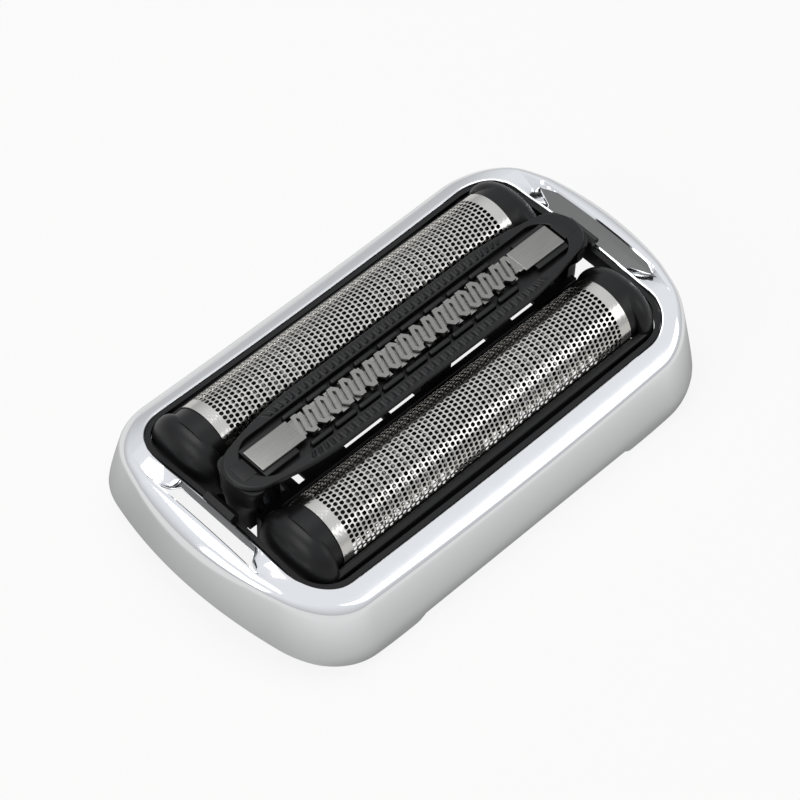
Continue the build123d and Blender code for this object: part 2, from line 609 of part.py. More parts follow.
with BuildPart() as trimmer_guard:
    pitch = 2 * GUARD_PLATE_INNER / COMB_FINGERS
    with BuildSketch(Plane.XY.offset(BED_TOP)):
        for side in (-1, 1):
            with Locations((side * (GUARD_PLATE_INNER + GUARD_HALF_LENGTH) / 2, 0)):
                Rectangle(GUARD_HALF_LENGTH - GUARD_PLATE_INNER, 2 * GUARD_HALF_WIDTH)
        reach = COMB_REACH - COMB_BAND / 2
        points = [(-GUARD_PLATE_INNER - EPS, -reach / 2)]
        for n in range(COMB_FINGERS):
            x = -GUARD_PLATE_INNER + (n + 0.5) * pitch
            points += [(x - COMB_FLAT * pitch, -reach), (x, -reach),
                       (x + COMB_LEAN * pitch, reach), (x + pitch / 2, reach)]
        points.append((GUARD_PLATE_INNER + EPS, reach / 2))
        with BuildLine():
            Polyline(*points)
        trace(line_width=COMB_BAND)
    extrude(amount=GUARD_THICKNESS)
trimmer_guard.part.label = "trimmer_guard"

with BuildPart() as trimmer_blade:
    with BuildSketch(Plane.XY.offset(BLADE_TOP_Z - TRIM_BLADE_THICKNESS)):
        Rectangle(2 * GUARD_PLATE_INNER, 2 * TRIM_BLADE_SPINE)
        with GridLocations(TRIM_TOOTH_PITCH, 1, TRIM_TOOTH_COUNT, 1):
            Rectangle(TRIM_TOOTH_WIDTH, 2 * TRIM_BLADE_REACH)
    extrude(amount=TRIM_BLADE_THICKNESS)
trimmer_blade.part.label = "trimmer_blade"

with BuildPart() as trimmer_slider:
    with BuildSketch(Plane.XY.offset(SLIDER_BOTTOM)):
        with Locations((SLIDER_X, 0)):
            Rectangle(SLIDER_LENGTH, SLIDER_WIDTH)
    extrude(amount=BLADE_TOP_Z - TRIM_BLADE_THICKNESS - SLIDER_BOTTOM)
    with Locations((SLIDER_X, 0, SLIDER_BOTTOM)):
        Cylinder(SLIDER_SOCKET_RADIUS, SLIDER_SOCKET_DEPTH,
                 align=(Align.CENTER, Align.CENTER, Align.MIN), mode=Mode.SUBTRACT)
trimmer_slider.part.label = "trimmer_slider"

parts = [chrome_frame.part, inner_carrier.part, trimmer_body.part, trimmer_guard.part,
         trimmer_blade.part, trimmer_slider.part]
for side, word in ((-1, "front"), (1, "rear")):
    for maker, name in ((pod, "foil_pod"), (foil, "foil"), (cutter_bar, "cutter_bar"),
                        (cutter_blades, "cutter_blades")):
        made = maker(side)
        made.label = word + "_" + name
        parts.append(made)
    for end, hand in ((-1, "left"), (1, "right")):
        x = end * (TAB_INNER_X + MOUTH_X) / 2
        parts.append(leaf(x, side * POD_Y, BRIDGE_TOP, POD_BOTTOM, word + "_pod_spring_" + hand))
for end, hand in ((-1, "left"), (1, "right")):
    shelf_top = SHELF_BOTTOM + SHELF_THICKNESS
    parts.append(leaf(end * PAD_X, 0, shelf_top, PAD_BOTTOM, "trimmer_spring_" + hand))

os.makedirs("parts", exist_ok=True)
for piece in parts:
    export_step(piece, "parts/" + piece.label + ".step")
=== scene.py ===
import math
import bmesh
import bpy
import numpy as np
from mathutils import Matrix, Vector


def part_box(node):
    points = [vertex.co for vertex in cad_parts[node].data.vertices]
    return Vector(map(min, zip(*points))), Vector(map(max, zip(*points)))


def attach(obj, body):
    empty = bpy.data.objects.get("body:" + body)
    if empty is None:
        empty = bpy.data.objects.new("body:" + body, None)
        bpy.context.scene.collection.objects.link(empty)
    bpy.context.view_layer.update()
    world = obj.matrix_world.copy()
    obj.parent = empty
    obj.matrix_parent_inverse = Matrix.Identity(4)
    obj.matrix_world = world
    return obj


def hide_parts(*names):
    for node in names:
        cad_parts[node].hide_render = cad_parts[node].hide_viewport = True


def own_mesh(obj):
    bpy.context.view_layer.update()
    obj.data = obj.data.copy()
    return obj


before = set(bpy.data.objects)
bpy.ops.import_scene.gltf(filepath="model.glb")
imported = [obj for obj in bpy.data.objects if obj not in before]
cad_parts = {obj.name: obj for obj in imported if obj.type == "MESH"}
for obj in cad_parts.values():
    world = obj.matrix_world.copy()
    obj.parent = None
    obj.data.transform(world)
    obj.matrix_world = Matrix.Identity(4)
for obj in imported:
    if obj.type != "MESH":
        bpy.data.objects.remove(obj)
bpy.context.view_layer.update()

bl_info = {
    "name": "Foil shaver head",
    "version": (1, 0, 0),
    "blender": (4, 5, 0),
    "location": "View3D > Sidebar > Shaver",
    "description": "Dresses the packed shaver head with its fine surfaces and finishes",
    "category": "Object",
}

MM = 0.001
HEAD = "head"
SIDES = {"front": -1, "rear": 1}


def node_box(name):
    """Lowest and highest corner of a CAD node in millimetres."""
    low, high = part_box(name)
    return np.array(low) / MM, np.array(high) / MM


RING_HIGH = node_box("chrome_frame")[1]
FOIL_LOW, FOIL_HIGH = node_box("rear_foil")
POD_LOW, POD_HIGH = node_box("rear_foil_pod")
TRIM_HIGH = node_box("trimmer_body")[1]
GUARD_LOW, GUARD_HIGH = node_box("trimmer_guard")


class HeadSizes(bpy.types.PropertyGroup):
    """Sizes of the fine surfaces, in millimetres."""

    corner_round: bpy.props.FloatProperty(
        name="Shoulder radius", description="Rounding between the ring's top and its wall, in mm",
        default=1.6, min=0.3, max=3.0)
    lip_round: bpy.props.FloatProperty(
        name="Lip radius", description="Rounding at the edge of the ring's opening, in mm",
        default=0.32, min=0.05, max=0.6)
    hole_column: bpy.props.FloatProperty(
        name="Column pitch", description="Distance between columns of foil holes along the foil, in mm",
        default=0.61, min=0.4, max=2.0)
    hole_row: bpy.props.FloatProperty(
        name="Row pitch", description="Distance between foil holes round the arch, in mm",
        default=0.545, min=0.4, max=2.0)
    hole_length: bpy.props.FloatProperty(
        name="Hole length", description="Size of a foil hole along the foil, in mm",
        default=0.49, min=0.1, max=0.6)
    hole_width: bpy.props.FloatProperty(
        name="Hole width", description="Size of a foil hole round the arch, in mm",
        default=0.44, min=0.1, max=0.5)
    foil_sheet: bpy.props.FloatProperty(
        name="Foil thickness", description="Thickness of the foil sheet, in mm",
        default=0.1, min=0.03, max=0.15)


class HeadColours(bpy.types.PropertyGroup):
    """Colours of the finishes as sRGB hex values."""

    chrome: bpy.props.StringProperty(
        name="Chrome", description="Bright plating of the ring", default="#F2F3F4")
    black: bpy.props.StringProperty(
        name="Black moulding", description="Satin black polymer", default="#0A0A0B")
    foil: bpy.props.StringProperty(
        name="Foil", description="Electroformed nickel sheet", default="#C9C7C2")
    comb: bpy.props.StringProperty(
        name="Trimmer steel", description="Brushed stainless steel", default="#7F7E7B")


def linear(code):
    """sRGB hex value as a linear RGBA tuple."""
    values = [int(code[i:i + 2], 16) / 255 for i in (1, 3, 5)]
    return tuple(v / 12.92 if v <= 0.04045 else ((v + 0.055) / 1.055) ** 2.4 for v in values) + (1.0,)


def add_node(tree, kind, settings=None, links=None):
    """Adds one node, sets its attributes and input values, and links its inputs from other sockets."""
    node = tree.nodes.new(kind)
    for key, value in (settings or {}).items():
        if key in node.inputs:
            node.inputs[key].default_value = value
        else:
            setattr(node, key, value)
    for key, source in (links or {}).items():
        tree.links.new(source, node.inputs[key])
    return node


def new_material(name):
    """Empty node material with its tree, shader and object coordinates in millimetres."""
    material = bpy.data.materials.new(name)
    material.use_nodes = True
    tree = material.node_tree
    tree.nodes.clear()
    shader = add_node(tree, "ShaderNodeBsdfPrincipled")
    out = add_node(tree, "ShaderNodeOutputMaterial", links={"Surface": shader.outputs["BSDF"]})
    place = add_node(tree, "ShaderNodeTexCoord")
    out.location = (400, 0)
    return material, tree, shader, place.outputs["Object"]


def per_mm(size):
    """Texture scale on object coordinates in metres that gives features of this size in mm."""
    return 1.0 / (size * MM)


def surface_grain(tree, coords, size, strength, depth, detail=3.0):
    """Bump from noise whose lumps are size mm wide, depth mm high at full strength."""
    noise = add_node(tree, "ShaderNodeTexNoise", {"Scale": per_mm(size), "Detail": detail},
                     {"Vector": coords})
    return add_node(tree, "ShaderNodeBump", {"Strength": strength, "Distance": depth * MM},
                    {"Height": noise.outputs["Fac"]})


def mottle(tree, coords, size, low, high):
    """Colour that wanders between two hex values over lumps of size mm."""
    noise = add_node(tree, "ShaderNodeTexNoise", {"Scale": per_mm(size), "Detail": 4.0}, {"Vector": coords})
    mix = add_node(tree, "ShaderNodeMix", {"data_type": "RGBA"})
    mix.inputs["A"].default_value = linear(low)
    mix.inputs["B"].default_value = linear(high)
    tree.links.new(noise.outputs["Fac"], mix.inputs["Factor"])
    return mix.outputs["Result"]


def wander(tree, coords, size, low, high):
    """Value that wanders between low and high over lumps of size mm."""
    noise = add_node(tree, "ShaderNodeTexNoise", {"Scale": per_mm(size), "Detail": 5.0}, {"Vector": coords})
    return add_node(tree, "ShaderNodeMapRange", {"To Min": low, "To Max": high},
                    {"Value": noise.outputs["Fac"]}).outputs["Result"]


def chrome_plating(colour):
    """Bright nickel-chrome on a moulded ring: mirror gloss, faint flow waves and a trace of polish haze."""
    material, tree, shader, coords = new_material("chrome_plated_abs")
    shader.inputs["Metallic"].default_value = 1.0
    shader.inputs["Base Color"].default_value = linear(colour)
    tree.links.new(wander(tree, coords, 3.0, 0.07, 0.12), shader.inputs["Roughness"])
    waves = surface_grain(tree, coords, 9.0, 0.08, 0.05, 1.0)
    tree.links.new(waves.outputs["Normal"], shader.inputs["Normal"])
    return material


def black_moulding(name, colour, light, rough_low, rough_high, grain, strength, gloss=0.22):
    """Moulded black polymer: a fine spark-eroded grain breaks the highlight into a satin glow."""
    material, tree, shader, coords = new_material(name)
    tree.links.new(mottle(tree, coords, 4.0, colour, light), shader.inputs["Base Color"])
    tree.links.new(wander(tree, coords, 1.5, rough_low, rough_high), shader.inputs["Roughness"])
    shader.inputs["IOR"].default_value = 1.52
    shader.inputs["Specular IOR Level"].default_value = gloss
    bump = surface_grain(tree, coords, grain, strength, 0.02)
    tree.links.new(bump.outputs["Normal"], shader.inputs["Normal"])
    return material


def foil_nickel(colour):
    """Electroformed nickel: warm grey, half matt, with a fine cross hatch that shows on the end bands."""
    material, tree, shader, coords = new_material("electroformed_nickel_foil")
    shader.inputs["Metallic"].default_value = 1.0
    tree.links.new(mottle(tree, coords, 2.5, colour, "#DAD8D3"), shader.inputs["Base Color"])
    tree.links.new(wander(tree, coords, 0.8, 0.16, 0.24), shader.inputs["Roughness"])
    heights = []
    for turn in (math.radians(45), math.radians(-45)):
        turned = add_node(tree, "ShaderNodeMapping", {"Rotation": (0, 0, turn)}, {"Vector": coords})
        # hatch lines every 0.22 mm, about twice the real spacing so that they show
        heights.append(add_node(tree, "ShaderNodeTexWave", {"Scale": per_mm(0.22) / (2 * math.pi)},
                                {"Vector": turned.outputs["Vector"]}).outputs["Fac"])
    both = add_node(tree, "ShaderNodeMath", {"operation": "MULTIPLY"})
    tree.links.new(heights[0], both.inputs[0])
    tree.links.new(heights[1], both.inputs[1])
    bump = add_node(tree, "ShaderNodeBump", {"Strength": 0.25, "Distance": 0.02 * MM},
                    {"Height": both.outputs["Value"]})
    tree.links.new(bump.outputs["Normal"], shader.inputs["Normal"])
    return material


def brushed_steel(name, colour, light, rough):
    """Stamped stainless steel, brushed along its length: streaks 0.06 mm wide and many times as long."""
    material, tree, shader, coords = new_material(name)
    shader.inputs["Metallic"].default_value = 1.0
    long_way = add_node(tree, "ShaderNodeMapping", {"Scale": (0.04, 1.0, 1.0)}, {"Vector": coords})
    streaks = long_way.outputs["Vector"]
    tree.links.new(mottle(tree, streaks, 0.12, colour, light), shader.inputs["Base Color"])
    tree.links.new(wander(tree, streaks, 0.08, rough - 0.06, rough + 0.08), shader.inputs["Roughness"])
    bump = surface_grain(tree, streaks, 0.06, 0.12, 0.01)
    tree.links.new(bump.outputs["Normal"], shader.inputs["Normal"])
    return material


def join_grids(grids):
    """Stacks (vertices, faces) pairs into one pair."""
    points, faces, start = [], [], 0
    for verts, quads in grids:
        points.append(verts)
        faces += [tuple(int(i) + start for i in quad) for quad in quads]
        start += len(verts)
    return np.concatenate(points), faces


def grid_quads(rows, cols, wrap_rows=False, wrap_cols=False):
    """Index quads of a rows by cols grid; column steps come first, so the normal is column x row."""
    i = np.arange(rows if wrap_rows else rows - 1)[:, None]
    j = np.arange(cols if wrap_cols else cols - 1)[None, :]
    i2, j2 = (i + 1) % rows, (j + 1) % cols
    quads = np.stack(np.broadcast_arrays(i * cols + j, i * cols + j2, i2 * cols + j2, i2 * cols + j), -1)
    return quads.reshape(-1, 4)


# angle in degrees past which an edge stays crisp, and distance in mm under which points are one
CREASE = 35.0
MERGE = 0.002


def make_piece(name, verts, faces, material, body, slot, replaced=(), angle=CREASE):
    """Mesh piece from millimetre points: doubles merged, edges sharper than angle kept crisp."""
    mesh = bpy.data.meshes.new(name)
    mesh.from_pydata((np.asarray(verts) * MM).tolist(), [], [tuple(map(int, f)) for f in faces])
    obj = bpy.data.objects.new(name, mesh)
    bpy.context.scene.collection.objects.link(obj)
    work = bmesh.new()
    work.from_mesh(mesh)
    bmesh.ops.remove_doubles(work, verts=work.verts, dist=MERGE * MM)
    bmesh.ops.dissolve_degenerate(work, edges=work.edges, dist=MERGE * MM)
    loose = [v for v in work.verts if not v.link_faces]
    bmesh.ops.delete(work, geom=loose, context="VERTS")
    work.to_mesh(mesh)
    work.free()
    mesh.shade_smooth()
    mesh.set_sharp_from_angle(angle=math.radians(angle))
    mesh.materials.append(material)
    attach(obj, body)
    if replaced:
        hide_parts(*replaced)
    return obj


def rounded_block(low, high, radius, steps=5):
    """Box with rounded edges: unit normals on a cube-sphere grid, scaled by radius and moved to the corners."""
    low, high = np.array(low, float), np.array(high, float)
    radius = min(radius, 0.499 * (high - low).min())
    half = (high - low) / 2 - radius
    centre = (high + low) / 2
    t = np.concatenate([np.linspace(-1, 0, steps), np.linspace(0, 1, steps)])
    sign = np.repeat([-1.0, 1.0], steps)
    a, b = np.meshgrid(np.arange(2 * steps), np.arange(2 * steps), indexing="ij")
    grids = []
    for axis in range(3):
        for way in (-1, 1):
            u, v = (axis + 1) % 3, (axis + 2) % 3
            direction = np.zeros(a.shape + (3,))
            direction[..., axis] = way
            direction[..., u] = np.tan(t[a] * math.pi / 4)
            direction[..., v] = np.tan(t[b] * math.pi / 4)
            direction /= np.linalg.norm(direction, axis=-1, keepdims=True)
            corner = np.zeros_like(direction)
            corner[..., axis] = way * half[axis]
            corner[..., u] = sign[a] * half[u]
            corner[..., v] = sign[b] * half[v]
            points = (centre + corner + direction * radius).reshape(-1, 3)
            quads = grid_quads(2 * steps, 2 * steps)
            grids.append((points, quads[:, ::-1] if way > 0 else quads))
    return join_grids(grids)


def end_block(end, low, high, radius, steps):
    """Rounded block at the right end, or its place mirrored in x at the left end."""
    near, far = sorted((end * low[0], end * high[0]))
    return rounded_block((near,) + low[1:], (far,) + high[1:], radius, steps)


def rational_arc(a, corner, b, steps):
    """Circular blend a to b that is tangent to both lines through corner, as a rational Bezier curve.

    The weight of the corner is the cosine of half the angle that the arc turns through.
    """
    one = a - corner
    two = b - corner
    cosine = (one * two).sum(-1) / (np.linalg.norm(one, axis=-1) * np.linalg.norm(two, axis=-1))
    weight = np.sin(np.arccos(np.clip(cosine, -1, 1)) / 2)[..., None]
    s = np.linspace(0, 1, steps).reshape((-1,) + (1,) * a.ndim)
    top = (1 - s) ** 2 * a + 2 * weight * s * (1 - s) * corner + s ** 2 * b
    return top / ((1 - s) ** 2 + 2 * weight * s * (1 - s) + s ** 2)


# bright ring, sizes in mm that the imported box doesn't give
RING_HALF_L, RING_HALF_W = 30.97, RING_HIGH[1]
RING_END_RADIUS, RING_TOP_END_RADIUS = 45.0, 25.0
RING_CORNER_RADIUS = 8.3
RING_FOOT_INSET = 0.25
RING_TOP_INSET, RING_SIDE_LEAN = 0.4, 3.1
RING_WAIST = 2.2
RING_WALL, RING_SHOULDER_INSET = 1.5, 1.5
OPENING_HALF_L, OPENING_HALF_W = 25.7, 14.2
OPENING_CORNER = 4.5
ROOF_CROWN = 10.75
ROOF_RIM = 9.35
ROOF_SLOPE = 0.646
ROOF_LONG_RADIUS = 506.0
ROOF_SOFT = 0.4
TOP_PLAN_Z = ROOF_CROWN + 3
WALL_CURVE, FOOT_CURVE = 1.12, 1.6
SHOULDER_LIMIT = 0.62
CEILING = 7.2
END_CEILING = 9.9
SLOT_X = (26.2, 27.1, 28.15)
SLOT_Y = (5.4, 6.2, 8.8)
SLOT_EDGE = 0.15
SLOT_MARGIN = 0.1
SLOT_RUNOUT = 0.5
CEILING_FADE = 6
SIDE_SHARE = 0.6
LIP_DROP, LEDGE_DROP = 0.4, 1.3
LEDGE_SPAN, LEDGE_FADE = 12.0, 4.5
CREST_LINE = ((0, 8.8, 12.0), (28.15, 28.15, 27.5))
RECESS_HALF_LENGTH = 15.4
RECESS_HEIGHT = 1.2
RECESS_DEPTH = 0.25
ARCH_START, ARCH_END, ARCH_RISE = 15.8, 32.0, 4.4


def roof_height(x, y):
    """Saddle top of the ring: a shallow arch across, a straight slope past the opening, both lifted along x.

    The arch and the slope meet in a soft minimum, so that the crease at the corners is rounded.
    """
    arch_radius = (OPENING_HALF_W ** 2 + (ROOF_CROWN - ROOF_RIM) ** 2) / (2 * (ROOF_CROWN - ROOF_RIM))
    arch = ROOF_CROWN - y ** 2 / (2 * arch_radius)
    slope = ROOF_RIM - ROOF_SLOPE * (np.abs(y) - OPENING_HALF_W)
    low = np.minimum(arch, slope)
    blend = low - ROOF_SOFT * np.log(np.exp(-(arch - low) / ROOF_SOFT) + np.exp(-(slope - low) / ROOF_SOFT))
    return blend + x ** 2 / (2 * ROOF_LONG_RADIUS)


def ring_plan(inset, side_inset, end_radius, y_share, s, t):
    """First quadrant of the ring's plan: a bowed end, a round corner and a straight side, and its normals.

    y_share runs over the end's half width, s over the corner and t from the corner back to the middle.
    """
    half_l, half_w = RING_HALF_L - inset, RING_HALF_W - side_inset
    r_end, r_cor = end_radius - inset, RING_CORNER_RADIUS - inset
    end_c, cor_y = half_l - r_end, half_w - r_cor
    cor_x = end_c + math.sqrt((r_end - r_cor) ** 2 - cor_y ** 2)
    first = math.atan2(cor_y, cor_x - end_c)
    phi = np.arcsin(y_share * math.sin(first))
    turn = first + s * (math.pi / 2 - first)
    plan = np.concatenate([
        np.stack([end_c + r_end * np.cos(phi), r_end * np.sin(phi)], -1),
        np.stack([cor_x + r_cor * np.cos(turn), cor_y + r_cor * np.sin(turn)], -1),
        np.stack([cor_x * t, np.full_like(t, half_w)], -1)])
    angles = np.concatenate([phi, turn, np.full_like(t, math.pi / 2)])
    return plan, np.stack([np.cos(angles), np.sin(angles)], -1), r_end * math.sin(first)


def ring_stations():
    """Opening edge, plans of the foot, waist, top and hollow, and their normals, paired point by point.

    Along the end the opening keeps the waist's y, round the corner and along the side it keeps the share.
    """
    none = np.zeros(0)
    end_y = ring_plan(0, 0, RING_END_RADIUS, none, none, none)[2]
    y = np.concatenate([np.linspace(0, SLOT_Y[0], 16)[:-1], np.linspace(SLOT_Y[0], SLOT_Y[1], 5)[:-1],
                        np.linspace(SLOT_Y[1], SLOT_Y[2], 12)[:-1], np.linspace(SLOT_Y[2], end_y, 4)])
    s, t = np.linspace(0, 1, 41)[1:], np.linspace(1, 0, 43)[1:]
    hollow = (RING_FOOT_INSET + RING_WALL, RING_SHOULDER_INSET + RING_WALL, RING_END_RADIUS)
    plans = {}
    for name, insets in {"foot": (RING_FOOT_INSET, RING_FOOT_INSET, RING_END_RADIUS),
                         "waist": (0, 0, RING_END_RADIUS), "hollow": hollow,
                         "top": (RING_TOP_INSET, RING_SIDE_LEAN, RING_TOP_END_RADIUS)}.items():
        plans[name], normal, _ = ring_plan(*insets, y / end_y, s, t)
        if name == "waist":
            plans["normal"] = normal
    corner_x, corner_y = OPENING_HALF_L - OPENING_CORNER, OPENING_HALF_W - OPENING_CORNER
    start = math.asin((end_y - corner_y) / OPENING_CORNER)
    bend = np.concatenate([np.arcsin(np.clip((y - corner_y) / OPENING_CORNER, 0, 1)),
                           start + s * (math.pi / 2 - start)])
    round_y = np.concatenate([np.minimum(y, corner_y), np.full_like(s, corner_y)])
    plans["opening"] = np.concatenate([
        np.stack([corner_x + OPENING_CORNER * np.cos(bend), round_y + OPENING_CORNER * np.sin(bend)], -1),
        np.stack([corner_x * t, np.full_like(t, OPENING_HALF_W)], -1)])
    end_share = np.concatenate([np.ones_like(y), np.clip(1 - CEILING_FADE * s, 0, 1), np.zeros_like(t)])
    turn_share = np.concatenate([np.ones_like(y), 0.5 + 0.5 * np.cos(math.pi * s), np.zeros_like(t)])
    return plans, end_share, turn_share


def lift(plan, z):
    """Plan points with a height as 3D points."""
    return np.concatenate([plan, np.asarray(z)[..., None]], -1)


def ring_sections(sizes):
    """Closed wall section at every station of the first quadrant, as an array of columns.

    The order is opening wall, lip, roof with the slot's two edges, shoulder, wall, foot, inner wall, ceiling.
    """
    plans, end_share, turn_share = ring_stations()
    inner, normal = plans["opening"], plans["normal"]

    def wall(z):
        above = np.clip((z - RING_WAIST) / (TOP_PLAN_Z - RING_WAIST), 0, 1)[:, None] ** WALL_CURVE
        below = np.clip((RING_WAIST - z) / RING_WAIST, 0, 1)[:, None] ** FOOT_CURVE
        plan = plans["waist"] + (plans["top"] - plans["waist"]) * above
        return lift(plan + (plans["foot"] - plans["waist"]) * below, z)

    edge = wall(np.full(len(inner), ROOF_RIM))
    for _ in range(6):
        edge = wall(roof_height(edge[:, 0], edge[:, 1]))
    reach = np.linalg.norm(edge[:, :2] - inner, axis=-1)
    along = (edge[:, :2] - inner) / reach[:, None]

    def roof(distance):
        plan = inner + along * distance[:, None]
        return lift(plan, roof_height(plan[:, 0], plan[:, 1]))

    corner = roof(reach)
    step = 0.3
    fall = np.arctan((roof(reach - step)[:, 2] - corner[:, 2]) / step)
    lean = np.arctan(((wall(corner[:, 2] - step) - wall(corner[:, 2]))[:, :2] * along).sum(-1) / step)
    on_end = end_share >= 1
    slot_out = np.interp(inner[:, 1], *CREST_LINE) - inner[:, 0]
    tangent = np.minimum(sizes.corner_round * np.tan((math.pi / 2 - fall - lean) / 2), SHOULDER_LIMIT * reach)
    past_slot = reach - slot_out - SLOT_EDGE - SLOT_MARGIN
    tangent += (np.where(on_end, past_slot, past_slot[on_end][-1]) - tangent) * turn_share
    shoulder_top, shoulder_low = roof(reach - tangent), wall(corner[:, 2] - tangent)
    shoulder = rational_arc(shoulder_top, corner, shoulder_low, 14)

    ceiling = CEILING + (END_CEILING - CEILING) * end_share
    opening_low = lift(inner, ceiling)

    ay = inner[:, 1]
    flat = reach - tangent
    share = (slot_out / flat)[on_end][-1]
    edge_b = np.where(on_end, slot_out, (SIDE_SHARE + (share - SIDE_SHARE) * turn_share) * flat)
    edge_a = np.interp(ay, SLOT_Y, np.array(SLOT_X)) - inner[:, 0]
    edge_a = np.where(on_end & (ay < SLOT_Y[2] - 1e-6), np.minimum(edge_a, edge_b), edge_b)
    lip_r = np.full_like(reach, sizes.lip_round)
    down = np.array([0, 0, 1.0])
    depth = SLOT_EDGE * np.clip((SLOT_Y[2] - ay) / SLOT_RUNOUT, 0, 1) * on_end
    drop = down * depth[:, None]
    fade = np.clip((LEDGE_SPAN - ay) / LEDGE_FADE, 0, 1) * on_end
    fade = fade * fade * (3 - 2 * fade)

    def ledge(distance):
        share = np.clip((distance - lip_r) / (edge_a - lip_r), 0, 1)
        return roof(distance) - down * (fade * (LIP_DROP + (LEDGE_DROP - LIP_DROP) * share))[:, None]

    lip_corner = ledge(np.zeros_like(reach))
    lip_low = lip_corner - down * lip_r[:, None]
    lip = rational_arc(lip_low, lip_corner, ledge(lip_r), 7)
    a_top, b_top = ledge(edge_a - SLOT_EDGE), roof(edge_b + SLOT_EDGE)
    a_edge, b_edge = ledge(edge_a) - drop, roof(edge_b) - drop

    def spread(surface, start, stop, count):
        return [surface(start + (stop - start) * k) for k in np.linspace(0, 1, count + 2)[1:-1]]

    foot_x = wall(np.full(len(inner), RING_WAIST))[:, 0]
    foot_z = ARCH_RISE * (np.clip(foot_x - ARCH_START, 0, None) / (ARCH_END - ARCH_START)) ** 2
    recess = np.clip(RECESS_HALF_LENGTH - foot_x, 0, RECESS_HEIGHT)
    low_z, height = shoulder_low[:, 2], np.maximum(foot_z, recess)
    walls = [wall(low_z + (height - low_z) * k) for k in np.linspace(0, 1, 14)[1:]]
    inward = lift(normal * RECESS_DEPTH, np.zeros_like(reach))
    step_top, step_low = wall(height) - inward, wall(foot_z) - inward
    foot, inner_top = lift(plans["hollow"], foot_z), lift(plans["hollow"], ceiling)
    columns = [opening_low, (opening_low + lip_low) / 2] + list(lip)
    columns += spread(ledge, lip_r, edge_a - SLOT_EDGE, 4) + [a_top, a_edge]
    slot_a = len(columns) - 1
    columns += [b_edge, b_top] + spread(roof, edge_b + SLOT_EDGE, flat, 5) + list(shoulder) + walls
    columns += [step_top, step_low, foot, inner_top]
    columns += [lift(b_edge[:, :2], ceiling), lift(a_edge[:, :2], ceiling)]
    in_slot = on_end & (ay <= SLOT_Y[2] + 1e-6)
    return np.stack(columns, 1), slot_a, in_slot


def ring_surface(sizes):
    """Whole ring: the quadrant's sections mirrored round the loop, with the slot strips open and walled."""
    quarter, slot_a, in_slot = ring_sections(sizes)
    flips = [(1, 1, False), (-1, 1, True), (-1, -1, False), (1, -1, True)]
    rows, marks = [], []
    for fx, fy, back in flips:
        part = quarter * np.array([fx, fy, 1.0])
        part, mark = (part[::-1], in_slot[::-1]) if back else (part, in_slot)
        rows.append(part[:-1])
        marks.append(mark[:-1])
    grid, mark = np.concatenate(rows), np.concatenate(marks)
    count, cols = grid.shape[:2]
    quads = grid_quads(count, cols, True, True)
    i = np.arange(count)
    i2 = (i + 1) % count
    cut = mark & mark[i2]
    column, row = quads[:, 0] % cols, quads[:, 0] // cols
    quads = quads[~(cut[row] & ((column == slot_a) | (column == cols - 2)))]
    near, far = slot_a, slot_a + 1
    wall_a = np.stack([i * cols + near, i * cols + cols - 1, i2 * cols + cols - 1, i2 * cols + near], -1)[cut]
    wall_b = np.stack([i * cols + cols - 2, i * cols + far, i2 * cols + far, i2 * cols + cols - 2], -1)[cut]
    return grid.reshape(-1, 3), np.concatenate([quads, wall_a, wall_b])


# foils, sizes in mm
FOIL_RADIUS = (FOIL_HIGH[1] - FOIL_LOW[1]) / 2
FOIL_HALF_L = FOIL_HIGH[0]
FOIL_Y = (FOIL_HIGH[1] + FOIL_LOW[1]) / 2
FOIL_AXIS_Z = FOIL_HIGH[2] - FOIL_RADIUS
FOIL_LEG = FOIL_AXIS_Z - FOIL_LOW[2]
FOIL_BAND = 1.5
FOIL_FIELD_ANGLE = 86.0
HOLE_SQUARE = 2.8
# points round a cell and its hole: two for each side of the six-sided cell
CELL_POINTS = 12


def on_arch(x, s, radius, centre_y):
    """Point of the foil at x and at the arc length s from its crown: an arch that ends in straight legs."""
    quarter = FOIL_RADIUS * math.pi / 2
    turn = np.clip(s, -quarter, quarter) / FOIL_RADIUS
    below = np.maximum(np.abs(s) - quarter, 0)
    return np.stack([x, centre_y + radius * np.sin(turn), FOIL_AXIS_Z + radius * np.cos(turn) - below], -1)


